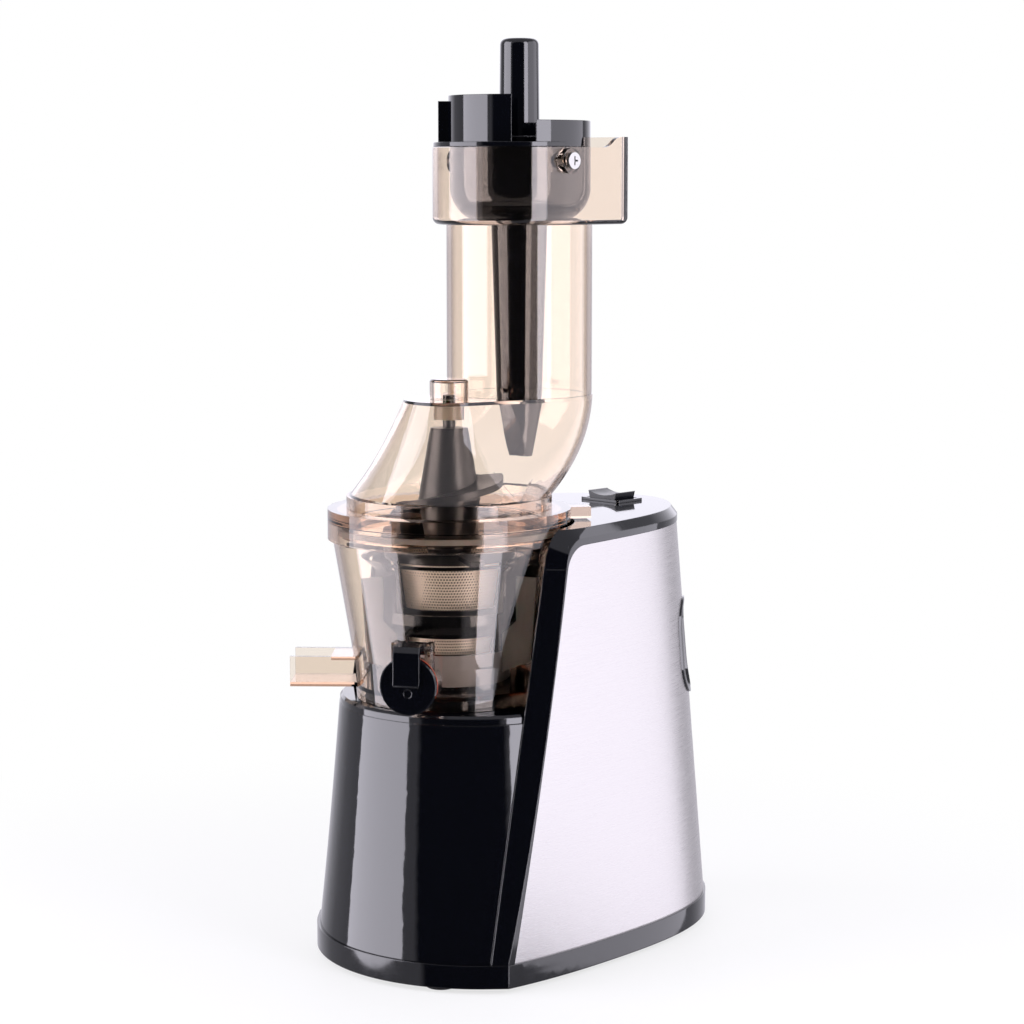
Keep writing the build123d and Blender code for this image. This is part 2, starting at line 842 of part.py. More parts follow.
# -------------------------------------------------------------- rocker switch
bezel_top_z = housing_top_z + bezel_height
rocker_axis_z = housing_top_z - 2.0
rocker_pin_radius = 1.5
switch_low_z = housing_top_z - switch_depth
with BuildPart() as switch_body:
    with BuildSketch(Plane.XY.offset(housing_top_z)):
        with Locations(rocker_spot):
            RectangleRounded(bezel_length, bezel_width, 2)
    extrude(amount=bezel_height)
    with BuildSketch(Plane.XY.offset(switch_low_z)):
        with Locations(rocker_spot):
            Rectangle(rocker_length + 3 - 2 * seat_gap, rocker_width + 2.5 - 2 * seat_gap)
    extrude(amount=switch_depth)
    with BuildSketch(Plane.XY.offset(bezel_top_z)):
        with Locations(rocker_spot):
            Rectangle(rocker_length + 2 * slide_gap, rocker_width + 2 * slide_gap)
    extrude(amount=-11, mode=Mode.SUBTRACT)
    with Locations((0, rocker_y, rocker_axis_z)):
        Cylinder(rocker_pin_radius, far, rotation=(90, 0, 0), mode=Mode.SUBTRACT)
save(switch_body.part, "switch_body")

with BuildPart() as rocker:
    with BuildSketch(Plane.XZ.offset(-rocker_y - rocker_width / 2)):
        with BuildLine():
            half = rocker_length / 2 - 1.2
            high = housing_top_z + rocker_high
            low = rocker_axis_z - 3.5
            Line((-half + 3, low), (half - 3, low))
            Line((half - 3, low), (half, high))
            ThreePointArc((half, high), (0, high - 2.2), (-half, high))
            Line((-half, high), (-half + 3, low))
        make_face()
    extrude(amount=rocker_width)
    with Locations((0, rocker_y, rocker_axis_z)):
        Cylinder(rocker_pin_radius, far, rotation=(90, 0, 0), mode=Mode.SUBTRACT)
save(rocker.part, "rocker")

with BuildPart() as rocker_pin:
    with Locations((0, rocker_y, rocker_axis_z)):
        Cylinder(rocker_pin_radius - shaft_gap, rocker_width + 2, rotation=(90, 0, 0))
save(rocker_pin.part, "rocker_pin")

# ---------------------------------------------------------- gears and gearbox
gear_axes = [
    (centre, third_teeth * third_module / 2 + third_module + gear_tip_room),
    (second_axis, second_teeth * second_module / 2 + second_module + gear_tip_room),
    (first_axis, first_teeth * first_module / 2 + first_module + gear_tip_room),
    (motor_axis, pinion_teeth * first_module / 2 + first_module + gear_tip_room),
]


def gear_box_plan(z, grow):
    """Plan of the gearbox: one hull round the four gear axes."""
    with BuildSketch(Plane.XY.offset(z)) as outline:
        for axis, room in gear_axes:
            with Locations(axis):
                Circle(room + grow)
        make_hull()
    return outline.sketch


pin_spots = [first_axis, second_axis]
bearing_radius = drive_radius + bearing_ring
with BuildPart() as gear_case:
    case_outside = gear_box_plan(gear_floor_z - gear_box_wall, gear_box_wall)
    extrude(case_outside, amount=gear_box_top_z - gear_floor_z + gear_box_wall)
    case_inside = gear_box_plan(gear_floor_z, 0)
    extrude(case_inside, amount=gear_box_top_z - gear_floor_z, mode=Mode.SUBTRACT)
    with BuildSketch(Plane.XY.offset(gear_floor_z)):
        Circle(bearing_radius + 2)
        with Locations(*pin_spots):
            Circle(gear_pin_radius + 3)
    extrude(amount=bearing_width)
    disc(centre, gear_floor_z, gear_floor_z + bearing_width, bearing_radius, mode=Mode.SUBTRACT)
    with BuildSketch(Plane.XY.offset(gear_floor_z)):
        with Locations(*pin_spots):
            Circle(gear_pin_radius)
    extrude(amount=bearing_width, mode=Mode.SUBTRACT)
save(gear_case.part, "gear_case")

with BuildPart() as gear_cover:
    extrude(gear_box_plan(gear_box_top_z, gear_box_wall), amount=gear_box_wall)
    disc(centre, gear_cover_top_z, gear_cover_top_z + bearing_width - gear_box_wall, bearing_radius + 2.5)
    disc(centre, gear_box_top_z, far, bearing_radius, mode=Mode.SUBTRACT)
    disc(motor_axis, gear_box_top_z, far, motor_shaft_radius + 1, mode=Mode.SUBTRACT)
    with BuildSketch(Plane.XY.offset(gear_box_top_z)):
        with Locations(*pin_spots):
            Circle(gear_pin_radius)
    extrude(amount=gear_box_wall, mode=Mode.SUBTRACT)
save(gear_cover.part, "gear_cover")

with BuildPart() as gear_pins:
    with BuildSketch(Plane.XY.offset(gear_floor_z)):
        with Locations(*pin_spots):
            Circle(gear_pin_radius)
    extrude(amount=gear_cover_top_z - gear_floor_z)
save(gear_pins.part, "gear_pins")

with BuildPart() as drive_bearings:
    for low in (gear_floor_z, gear_box_top_z):
        disc(centre, low, low + bearing_width, bearing_radius, drive_radius)
save(drive_bearings.part, "drive_bearings")

with BuildPart() as drive_shaft:
    disc(centre, gear_floor_z, deck_top_z + 4, drive_radius)
    with BuildSketch(Plane.XY.offset(deck_top_z + 4)):
        RegularPolygon(hex_flats / 2, 6, major_radius=False)
    extrude(amount=hex_top_z - deck_top_z - 4)
    chamfer(drive_shaft.faces().group_by(Axis.Z)[-1].edges(), 0.8)
save(drive_shaft.part, "drive_shaft")

mesh_turn = {}


def mesh_angle(wheel_axis, pinion_axis, wheel_teeth, wheel_turn, teeth):
    """The turn of a pinion whose gap faces a tooth of the wheel."""
    line = math.degrees(
        math.atan2(pinion_axis[1] - wheel_axis[1], pinion_axis[0] - wheel_axis[0])
    )
    phase = (line - wheel_turn) * wheel_teeth / 360
    return line + 180 + (phase - 0.5) * 360 / teeth


output_turn = second_axis_angle
second_pinion_turn = mesh_angle(centre, second_axis, third_teeth, output_turn, pinion_teeth)
second_turn = second_pinion_turn
first_pinion_turn = mesh_angle(second_axis, first_axis, second_teeth, second_turn, pinion_teeth)
first_turn = first_pinion_turn
motor_pinion_turn = mesh_angle(first_axis, motor_axis, first_teeth, first_turn, pinion_teeth)

with BuildPart() as output_gear:
    gear_blank(centre, third_gear_z, third_face, third_teeth, third_module, output_turn)
    disc(centre, gear_floor_z + bearing_width, gear_box_top_z, drive_radius + 5)
    disc(centre, 0, far, drive_radius, mode=Mode.SUBTRACT)
save(output_gear.part, "output_gear")


def compound_gear(axis, wheel, pinion, turns):
    """A wheel and the pinion of the next stage as one moulding."""
    wheel_z, wheel_face, wheel_teeth, wheel_module = wheel
    pinion_z, pinion_face, pinion_module = pinion
    gear_blank(axis, wheel_z, wheel_face, wheel_teeth, wheel_module, turns[0])
    overhang = pinion_face + 2 * pinion_extra
    gear_blank(axis, pinion_z - pinion_extra, overhang, pinion_teeth, pinion_module, turns[1])
    hub = pinion_teeth * pinion_module / 2 - 1.2 * pinion_module
    disc(axis, gear_floor_z + bearing_width + slide_gap, gear_box_top_z - slide_gap, hub)
    disc(axis, 0, far, gear_pin_radius + shaft_gap, mode=Mode.SUBTRACT)


with BuildPart() as second_gear:
    compound_gear(
        second_axis,
        (second_gear_z, second_face, second_teeth, second_module),
        (third_gear_z, third_face, third_module),
        (second_turn, second_pinion_turn),
    )
save(second_gear.part, "second_gear")

with BuildPart() as first_gear:
    compound_gear(
        first_axis,
        (first_gear_z, first_face, first_teeth, first_module),
        (second_gear_z, second_face, second_module),
        (first_turn, first_pinion_turn),
    )
save(first_gear.part, "first_gear")

# -------------------------------------------------------------------- motor
pinion_low_z = first_gear_z - pinion_extra
with BuildPart() as motor_pinion:
    gear_blank(
        motor_axis, pinion_low_z, first_face + 2 * pinion_extra,
        pinion_teeth, first_module, motor_pinion_turn,
    )
    disc(motor_axis, 0, far, motor_shaft_radius, mode=Mode.SUBTRACT)
save(motor_pinion.part, "motor_pinion")

motor_bearing_ring = 5.0
motor_bearing_radius = motor_shaft_radius + motor_bearing_ring
motor_bearing_width = 5.0
bell_lip = 1.0
fan_z = can_top_z + bell_thickness + 1.5
shaft_top_z = fan_z + fan_height
with BuildPart() as motor_shaft:
    disc(motor_axis, pinion_low_z, shaft_top_z, motor_shaft_radius)
save(motor_shaft.part, "motor_shaft")

with BuildPart() as motor_can:
    disc(motor_axis, motor_z, can_top_z, can_radius)
    disc(motor_axis, motor_z + motor_bearing_width, can_top_z, can_radius - can_wall, mode=Mode.SUBTRACT)
    disc(motor_axis, motor_z, far, motor_bearing_radius, mode=Mode.SUBTRACT)
save(motor_can.part, "motor_can")

bell_z = can_top_z
with BuildPart() as motor_bell:
    disc(motor_axis, bell_z, bell_z + bell_thickness, can_radius)
    disc(motor_axis, bell_z - bell_lip, bell_z, can_radius - can_wall - seat_gap)
    disc(motor_axis, 0, far, motor_bearing_radius, mode=Mode.SUBTRACT)
    with BuildSketch(Plane((motor_axis[0], motor_axis[1], bell_z - bell_lip))):
        with PolarLocations(22, 6):
            SlotOverall(14, 4, rotation=90)
    extrude(amount=bell_thickness + bell_lip, mode=Mode.SUBTRACT)
    with BuildSketch(Plane((motor_axis[0], motor_axis[1], bell_z + bell_thickness))):
        with GridLocations(standoff_span, 0, 2, 1):
            Circle(standoff_radius)
    extrude(amount=standoff_height)
save(motor_bell.part, "motor_bell")

with BuildPart() as motor_bearings:
    for low in (motor_z, bell_z + bell_thickness - motor_bearing_width):
        disc(motor_axis, low, low + motor_bearing_width, motor_bearing_radius, motor_shaft_radius)
save(motor_bearings.part, "motor_bearings")

rotor_z = motor_z + motor_bearing_width + 8
slot_depth = 7.0
with BuildPart() as rotor_core:
    with BuildSketch(Plane((motor_axis[0], motor_axis[1], rotor_z))):
        Circle(rotor_radius)
        with PolarLocations(rotor_radius - slot_depth / 2, rotor_slots):
            Rectangle(slot_depth + 1, 2.4, mode=Mode.SUBTRACT)
        Circle(motor_shaft_radius, mode=Mode.SUBTRACT)
    extrude(amount=rotor_height)
save(rotor_core.part, "rotor_core")

with BuildPart() as commutator:
    disc(motor_axis, rotor_z + rotor_height, rotor_z + rotor_height + 10, 9.0, motor_shaft_radius)
save(commutator.part, "commutator")

magnet_outer = can_radius - can_wall
with BuildPart() as magnets:
    with BuildSketch(Plane((motor_axis[0], motor_axis[1], rotor_z))):
        Circle(magnet_outer)
        Circle(magnet_outer - magnet_thickness, mode=Mode.SUBTRACT)
        Rectangle(12, far, mode=Mode.SUBTRACT)
    extrude(amount=rotor_height)
save(magnets.part, "motor_magnets")

with BuildPart() as motor_fan:
    disc(motor_axis, fan_z, fan_z + 2, fan_radius - 2)
    disc(motor_axis, fan_z, fan_z + fan_height, 7)
    with BuildSketch(Plane((motor_axis[0], motor_axis[1], fan_z))):
        with PolarLocations((fan_radius + 5) / 2, fan_blades, start_angle=20):
            Rectangle(fan_radius - 7, 1.6, rotation=15)
    extrude(amount=fan_height)
    disc(motor_axis, 0, far, motor_shaft_radius, mode=Mode.SUBTRACT)
save(motor_fan.part, "motor_fan")

board_z = bell_z + bell_thickness + standoff_height
board_hole = motor_shaft_radius + 3
with BuildPart() as control_board:
    with BuildSketch(Plane((motor_axis[0], motor_axis[1], board_z))):
        Rectangle(board_length, board_width)
        Circle(board_hole, mode=Mode.SUBTRACT)
    extrude(amount=board_thickness)
save(control_board.part, "control_board")

board_top_z = board_z + board_thickness
capacitor_spots = [(-20, 10), (20, 12)]
relay_spot = (-18, -12)
terminal_spot = (18, -12)
component_height = 14.0
with BuildPart() as board_parts:
    with BuildSketch(Plane((motor_axis[0], motor_axis[1], board_top_z))):
        with Locations(*capacitor_spots):
            Circle(6)
        with Locations(relay_spot):
            Rectangle(16, 12)
        with Locations(terminal_spot):
            Rectangle(18, 9)
    extrude(amount=component_height)
save(board_parts.part, "board_parts")

# --------------------------------------------------------- lid lock sensor
lug_turn = math.radians(lug_angle)
sensor_spot = (math.cos(lug_turn) * (lug_reach - 0.5), math.sin(lug_turn) * (lug_reach - 0.5))
sensor_top_z = housing_top_z - cover_wall
with BuildPart() as lock_sensor:
    with BuildSketch(Plane.XY.offset(sensor_top_z - 9)):
        with Locations(Location((*sensor_spot, 0), (0, 0, lug_angle))):
            Rectangle(9, 7)
    extrude(amount=9 - slide_gap)
save(lock_sensor.part, "lock_sensor")

# ===================================================================== bowl
bowl_top_inner = bowl_top_radius - bowl_wall
bowl_step_inner = bowl_step_radius - bowl_wall
bowl_floor_top_z = bowl_floor_z + bowl_floor
juice_plane = radial_plane(juice_angle, 0, juice_z)
lever_plane = radial_plane(juice_angle, lever_hinge_reach, lever_hinge_z)
pulp_middle_z = (pulp_low_z + pulp_high_z) / 2
pulp_plane = radial_plane(pulp_angle, 0, pulp_middle_z)
pulp_height = pulp_high_z - pulp_low_z
idler_reach = (sun_teeth + idler_teeth) * brush_gear_module / 2


def bowl_inside(mode):
    """The hollow of the bowl as a turned form."""
    with BuildSketch(Plane.XZ) as half_section:
        with BuildLine():
            Polyline(
                (0, bowl_floor_top_z),
                (bowl_step_inner - 2, bowl_floor_top_z),
                (bowl_step_inner, bowl_step_z),
                (bowl_top_inner, flange_low_z),
                (bowl_top_inner, flange_split_z + 1),
                (0, flange_split_z + 1),
                close=True,
            )
        make_face()
    revolve(half_section.sketch, axis=Axis.Z, mode=mode)


with BuildPart() as bowl:
    with BuildSketch(Plane.XZ):
        with BuildLine():
            Polyline(
                (0, bowl_floor_z),
                (bowl_step_radius - 4.6, bowl_floor_z),
                (bowl_step_radius - 4.6, bowl_skirt_z),
                (bowl_step_radius - 2, bowl_skirt_z),
                (bowl_step_radius, bowl_step_z),
                (bowl_top_radius, flange_low_z),
                (flange_radius, flange_low_z),
                (flange_radius, flange_split_z),
                (0, flange_split_z),
                close=True,
            )
        make_face()
    revolve(axis=Axis.Z)
    with BuildSketch(juice_plane.offset(bowl_step_inner - 8)):
        Circle(juice_bore + juice_wall)
    extrude(amount=juice_reach - bowl_step_inner + 8)
    with BuildSketch(juice_plane.offset(lever_hinge_reach)):
        with Locations(
            (lever_width / 2 + 2, lever_hinge_z - juice_z - 6.5),
            (-lever_width / 2 - 2, lever_hinge_z - juice_z - 6.5),
        ):
            Rectangle(3, 19)
    extrude(amount=4, both=True)
    with BuildSketch(pulp_plane.offset(bowl_step_inner - 10)):
        Rectangle(pulp_width, pulp_height)
    extrude(amount=pulp_reach - bowl_step_inner + 10)
    bowl_inside(Mode.SUBTRACT)
    disc(centre, bowl_floor_z, bowl_hub_z, bowl_hub_radius)
    disc((0.0, idler_reach), bowl_floor_z, brush_gear_z + brush_gear_height, idler_pin_radius)
    disc(centre, 0, far, bowl_bore, mode=Mode.SUBTRACT)
    with BuildSketch(juice_plane.offset(bowl_step_inner - 8)):
        Circle(juice_bore)
    extrude(amount=far / 4, mode=Mode.SUBTRACT)
    with Locations(lever_plane.location):
        Cylinder(lever_pin_radius, lever_width + 16, rotation=(0, 90, 0), mode=Mode.SUBTRACT)
    with BuildSketch(pulp_plane.offset(bowl_step_inner - 10)):
        Rectangle(pulp_width - 2 * pulp_wall, pulp_height - 2 * pulp_wall)
    extrude(amount=far / 2, mode=Mode.SUBTRACT)
    with BuildSketch(pulp_plane.offset(pulp_open_from)):
        with Locations((0, pulp_height / 2)):
            Rectangle(pulp_width - 2 * pulp_wall, 4 * pulp_wall)
    extrude(amount=far / 2, mode=Mode.SUBTRACT)
save(bowl.part, "bowl")

with BuildPart() as bowl_seal:
    disc(centre, bowl_floor_z, bowl_hub_z, bowl_bore, socket_radius + shaft_gap)
save(bowl_seal.part, "bowl_seal")

cap_face = juice_reach + seat_gap + gasket_thickness
with BuildPart() as cap_gasket:
    with BuildSketch(juice_plane.offset(juice_reach + seat_gap)):
        Circle(cap_radius - slide_gap)
    extrude(amount=gasket_thickness)
    with BuildSketch(juice_plane.offset(juice_reach - 1.0)):
        Circle(juice_bore - 2 * slide_gap)
    extrude(amount=1.0 + seat_gap)
save(cap_gasket.part, "cap_gasket")

with BuildPart() as juice_cap:
    with BuildSketch(juice_plane.offset(cap_face)):
        Circle(cap_radius)
    extrude(amount=cap_thickness)
    chamfer(juice_cap.faces().sort_by(Axis.Z)[0].edges().filter_by(GeomType.CIRCLE), 0.2)
    with BuildSketch(juice_plane.offset(cap_face + cap_thickness)):
        with Locations((0, -cap_dimple_drop)):
            Circle(cap_dimple_radius)
    extrude(amount=-cap_dimple_depth, mode=Mode.SUBTRACT)
save(juice_cap.part, "juice_cap")

# The lever is drawn in the upright plane through the spout: x runs outwards
# from the hinge and y runs up from it.
side_origin = lever_plane.origin - lever_plane.x_dir * (lever_width / 2)
side_plane = Plane(origin=side_origin, x_dir=lever_plane.z_dir, z_dir=-lever_plane.x_dir)
front_x = cap_face + cap_thickness - lever_hinge_reach
knuckle_radius = lever_pin_radius + 1.8
lever_low = lever_tip_z - lever_hinge_z
with BuildPart() as cap_lever:
    with BuildSketch(side_plane):
        Circle(knuckle_radius)
        with BuildLine():
            Polyline(
                (0, -0.2),
                (front_x - 1, -0.8),
                (front_x, -3),
                (front_x, lever_low + 3),
                (front_x + 2.2, lever_low),
                (front_x + 3.4, lever_low + 1.2),
                (front_x + lever_thickness, lever_low + 4),
                (front_x + lever_thickness, -1),
                (front_x + 1, 2.2),
                (0, knuckle_radius),
                close=True,
            )
        make_face()
        Circle(lever_pin_radius + shaft_gap, mode=Mode.SUBTRACT)
    extrude(amount=-lever_width)
save(cap_lever.part, "cap_lever")

with BuildPart() as lever_pin:
    with Locations(lever_plane.location):
        Cylinder(lever_pin_radius, lever_width + 7, rotation=(0, 90, 0))
save(lever_pin.part, "lever_pin")

# ================================================== strainer, brush and auger
def strainer_inner(z):
    """Inner radius of the strainer at a height: a waist and two cones."""
    if z < strainer_waist_z:
        share = (z - strainer_low_z) / (strainer_waist_z - strainer_low_z)
        return strainer_low_radius + (strainer_waist_radius - strainer_low_radius) * share
    share = (z - strainer_waist_z) / (strainer_top_z - strainer_waist_z)
    return strainer_waist_radius + (strainer_high_radius - strainer_waist_radius) * share


def cone_band(low, high, start, thickness):
    """A ring of even wall that follows the strainer's cones."""
    heights = [low, high]
    if low < strainer_waist_z < high:
        heights.insert(1, strainer_waist_z)
    inner = [(strainer_inner(z) + start, z) for z in heights]
    outer = [(strainer_inner(z) + start + thickness, z) for z in reversed(heights)]
    with BuildSketch(Plane.XZ) as half_section:
        with BuildLine():
            Polyline(*inner, *outer, close=True)
        make_face()
    revolve(half_section.sketch, axis=Axis.Z)


with BuildPart() as strainer_mesh:
    cone_band(strainer_low_z, strainer_top_z, 0, mesh_thickness)
save(strainer_mesh.part, "strainer_mesh")

frame_start = mesh_thickness
frame_thickness = strainer_wall - mesh_thickness
arm_high_z = strainer_top_z
arm_low_z = arm_high_z - strainer_arm_height
arm_share = (arm_low_z - bowl_step_z) / (flange_low_z - bowl_step_z)
arm_reach = bowl_step_inner + (bowl_top_inner - bowl_step_inner) * arm_share - seat_gap
rim_thickness = frame_thickness + strainer_rim_proud

with BuildPart() as strainer_frame:
    cone_band(strainer_low_z, strainer_top_z, frame_start, frame_thickness)
    for low, high in ((foot_band_z, band_low_z), (band_high_z, strainer_rim_z)):
        with BuildSketch(Plane.XY.offset(low)):
            Circle(far / 2)
            with PolarLocations(strainer_high_radius, rib_count, start_angle=rib_start):
                Rectangle(strainer_high_radius, rib_width, mode=Mode.SUBTRACT)
        extrude(amount=high - low, mode=Mode.SUBTRACT)
    cone_band(strainer_rim_z, strainer_top_z, frame_start, rim_thickness)
    with BuildSketch(Plane.XY.offset(arm_low_z)):
        arm_start = strainer_inner(arm_low_z) + frame_start + frame_thickness
        with PolarLocations((arm_reach + arm_start) / 2, strainer_arms, start_angle=90):
            Rectangle(arm_reach - arm_start, strainer_arm_width)
    extrude(amount=strainer_arm_height)
save(strainer_frame.part, "strainer_frame")

brush_top_gear_z = brush_gear_z + brush_gear_height
ring_pitch = ring_teeth * brush_gear_module / 2
ring_outer = ring_pitch + 1.15 * brush_gear_module + ring_gear_wall
idler_axis = (0.0, idler_reach)
idler_line = 90.0
sun_turn = 0.0
idler_turn = mesh_angle(centre, idler_axis, sun_teeth, sun_turn, idler_teeth)
ring_turn = idler_line - (idler_line - idler_turn) * idler_teeth / ring_teeth
brush_profile = [
    (brush_low_radius, brush_gear_z),
    (brush_low_radius, brush_step_low_z),
    (brush_high_radius, brush_step_high_z),
    (brush_high_radius, brush_flare_z),
    (brush_flare_radius, brush_high_z),
]


def ring_gear_hollow():
    """The toothed hollow of the brush's ring gear."""
    module = brush_gear_module
    inner = ring_pitch - 0.8 * module
    outer = ring_pitch + 1.15 * module
    half_inner = 0.36 * math.pi * module
    half_outer = 0.17 * math.pi * module
    Circle(inner)
    with PolarLocations(0, ring_teeth, start_angle=ring_turn):
        Polygon(
            (inner - module, -half_inner),
            (inner, -half_inner),
            (outer, -half_outer),
            (outer, half_outer),
            (inner, half_inner),
            (inner - module, half_inner),
            align=None,
        )


with BuildPart() as brush_frame:
    with BuildSketch(Plane.XZ):
        with BuildLine():
            inner_side = [(radius, z) for radius, z in brush_profile]
            outer_side = [(radius + brush_wall, z) for radius, z in reversed(brush_profile)]
            Polyline(*inner_side, *outer_side, close=True)
        make_face()
    revolve(axis=Axis.Z)
    window_rows = (
        (brush_window_low_z, brush_step_low_z),
        (brush_window_high_z, brush_high_z - window_margin),
    )
    post_turn = 360 / brush_posts
    for low, high in window_rows:
        with BuildSketch(Plane.XY.offset(low)):
            for number in range(brush_posts):
                middle = math.radians(-44 + number * post_turn)
                half_open = math.radians(brush_window_turn)
                reach = 2 * brush_flare_radius
                Polygon(
                    (0, 0),
                    (reach * math.cos(middle - half_open), reach * math.sin(middle - half_open)),
                    (reach * math.cos(middle), reach * math.sin(middle)),
                    (reach * math.cos(middle + half_open), reach * math.sin(middle + half_open)),
                    align=None,
                )
        extrude(amount=high - low, mode=Mode.SUBTRACT)
    disc(centre, brush_gear_z, brush_gear_z + 2, brush_low_radius + 1, ring_outer - 1)
    disc(centre, brush_gear_z, brush_top_gear_z, ring_outer)
    with BuildSketch(Plane.XY.offset(brush_gear_z)):
        ring_gear_hollow()
    extrude(amount=brush_gear_height, mode=Mode.SUBTRACT)
    with BuildSketch(Plane.XY.offset(brush_gear_z)):
        with PolarLocations((ring_outer + brush_low_radius) / 2, 12):
            Circle(1.6)
    extrude(amount=2, mode=Mode.SUBTRACT)
save(brush_frame.part, "brush_frame")

blade_outer_low = bowl_step_inner - blade_gap
with BuildPart() as wiper_blades:
    for number in range(brush_posts):
        middle = -44 + (number + 0.5) * post_turn
        blade_plane = Plane.XZ.rotated((0, 0, middle))
        with BuildSketch(blade_plane):
            with BuildLine():
                Polyline(
                    (brush_low_radius + brush_wall, brush_top_gear_z),
                    (blade_outer_low, bowl_step_z),
                    (blade_outer_low + 4, brush_flare_z - 3),
                    (brush_high_radius + brush_wall, brush_flare_z - 3),
                    (brush_high_radius + brush_wall, brush_step_high_z),
                    (brush_low_radius + brush_wall, brush_step_low_z),
                    close=True,
                )
            make_face()
        extrude(amount=blade_thickness / 2, both=True)
        with BuildSketch(blade_plane):
            with BuildLine():
                Polyline(
                    (strainer_low_radius + strainer_wall + blade_gap, strainer_low_z + 1),
                    (brush_low_radius, strainer_low_z + 1),
                    (brush_low_radius, brush_step_low_z),
                    (brush_high_radius, brush_step_high_z),
                    (brush_high_radius, brush_flare_z - 3),
                    (strainer_inner(brush_flare_z) + strainer_wall + blade_gap, brush_flare_z - 3),
                    (strainer_waist_radius + strainer_wall + blade_gap, strainer_waist_z),
                    close=True,
                )
            make_face()
        extrude(amount=blade_thickness / 2, both=True)
    add(brush_frame.part, mode=Mode.SUBTRACT)
save(wiper_blades.part, "wiper_blades")

with BuildPart() as brush_idler:
    gear_blank(
        idler_axis, brush_gear_z, brush_gear_height, idler_teeth, brush_gear_module, idler_turn
    )
    disc(idler_axis, 0, far * 2, idler_pin_radius + shaft_gap, mode=Mode.SUBTRACT)
save(brush_idler.part, "brush_idler")

flight_root = 2.0
with BuildPart() as auger:
    with BuildSketch(Plane.XZ):
        with BuildLine():
            Polyline(
                (0, strainer_low_z),
                (auger_radius - 1, strainer_low_z),
                (auger_radius - 1, strainer_low_z + 2),
                (auger_core_low, auger_screw_low_z + 2),
                (auger_core_high, auger_screw_z),
                (auger_neck_low_radius, auger_neck_low_z),
                (auger_neck_radius, auger_neck_z),
                (auger_pin_radius, auger_neck_z),
                (auger_pin_radius, auger_pin_z),
                (0, auger_pin_z),
                close=True,
            )
        make_face()
    revolve(axis=Axis.Z)
    for low, high, reach in (
        (auger_screw_low_z + 2, auger_screw_z, auger_radius),
        (strainer_top_z + 3, feed_wing_top_z, feed_wing_radius),
    ):
        helix = Helix(auger_pitch, high - low, auger_core_high, center=(0, 0, low))
        with BuildSketch(Plane.XZ):
            with Locations(((reach + auger_core_high - flight_root) / 2, low)):
                Rectangle(reach - auger_core_high + flight_root, flight_thickness)
        sweep(path=helix, is_frenet=True)
    gear_blank(centre, brush_gear_z, brush_gear_height, sun_teeth, brush_gear_module, sun_turn)
    disc(centre, brush_gear_z, strainer_low_z, socket_radius + 1.4)
    disc(centre, 0, socket_top_z, socket_radius, mode=Mode.SUBTRACT)
save(auger.part, "auger")

with BuildPart() as auger_socket:
    disc(centre, bowl_floor_z - 1, socket_top_z, socket_radius)
    with BuildSketch(Plane.XY):
        RegularPolygon(hex_flats / 2 + seat_gap, 6, major_radius=False)
    extrude(amount=hex_top_z + 1, mode=Mode.SUBTRACT)
save(auger_socket.part, "auger_socket")

# ====================================================================== lid
lid_inner_foot = lid_foot_radius - lid_wall
skirt_outer = bowl_top_inner - lid_wall
lid_chute_radius = chute_radius + 0.5
chute_axis = (0.0, chute_y)
lid_bush_z = lid_top_z - 11
bush_radius = auger_pin_radius + 2.5
boss_wall = 2.5

with BuildPart() as lid:
    outer_sections = [
        hull_section(lid_ring_top_z, lid_foot_radius, lid_foot_radius, lid_foot_shift),
        hull_section(lid_waist_z, lid_waist_radius, lid_waist_chute_radius, lid_waist_chute_y),
        hull_section(lid_top_z, lid_nose_radius, lid_chute_radius, chute_y),
    ]
    loft(outer_sections)
    disc(centre, flange_split_z, lid_flange_top_z, flange_radius)
    disc(centre, lid_flange_top_z, lid_ring_top_z, lid_ring_radius)
    disc(centre, flange_split_z - lid_skirt_depth, flange_split_z, skirt_outer)
    with BuildSketch(Plane.XY.offset(flange_split_z)):
        with Locations(Location((0, 0, 0), (0, 0, lug_angle))):
            with Locations(((flange_radius - 3 + lug_reach) / 2, 0)):
                Rectangle(lug_reach - flange_radius + 3, lug_width)
    extrude(amount=lid_flange_top_z - flange_split_z - 0.5)
    inner_sections = [
        hull_section(
            lid_ring_top_z, lid_foot_radius, lid_foot_radius, lid_foot_shift, lid_wall
        ),
        hull_section(
            lid_waist_z, lid_waist_radius, lid_waist_chute_radius, lid_waist_chute_y, lid_wall
        ),
        hull_section(
            lid_top_z - lid_wall, lid_nose_radius, lid_chute_radius, chute_y, lid_wall
        ),
    ]
    loft(inner_sections, mode=Mode.SUBTRACT)
    disc(centre, flange_split_z - lid_skirt_depth, lid_ring_top_z, lid_inner_foot, mode=Mode.SUBTRACT)
    lid_plate_z = lid_top_z - lid_wall
    disc(chute_axis, lid_plate_z - 1, far * 2, chute_radius - chute_wall, mode=Mode.SUBTRACT)
    disc(centre, lid_bush_z, lid_top_z, bush_radius + boss_wall)
    disc(centre, lid_bush_z - 1, far * 2, bush_radius, mode=Mode.SUBTRACT)
save(lid.part, "lid")

with BuildPart() as top_bush:
    disc(centre, lid_bush_z, lid_top_z, bush_radius, auger_pin_radius + shaft_gap)
save(top_bush.part, "top_bush")

with BuildPart() as bearing_cap:
    disc(centre, lid_top_z, lid_top_z + knob_height, knob_radius)
    fillet(bearing_cap.faces().sort_by(Axis.Z)[-1].edges(), knob_wall)
    disc(centre, lid_top_z, lid_top_z + knob_height - knob_wall, knob_radius - knob_wall, mode=Mode.SUBTRACT)
save(bearing_cap.part, "bearing_cap")

gasket_low_z = flange_split_z - lid_skirt_depth + 2
with BuildPart() as lid_gasket:
    disc(centre, gasket_low_z, gasket_low_z + 3, bowl_top_inner - slide_gap, skirt_outer + slide_gap)
save(lid_gasket.part, "lid_gasket")

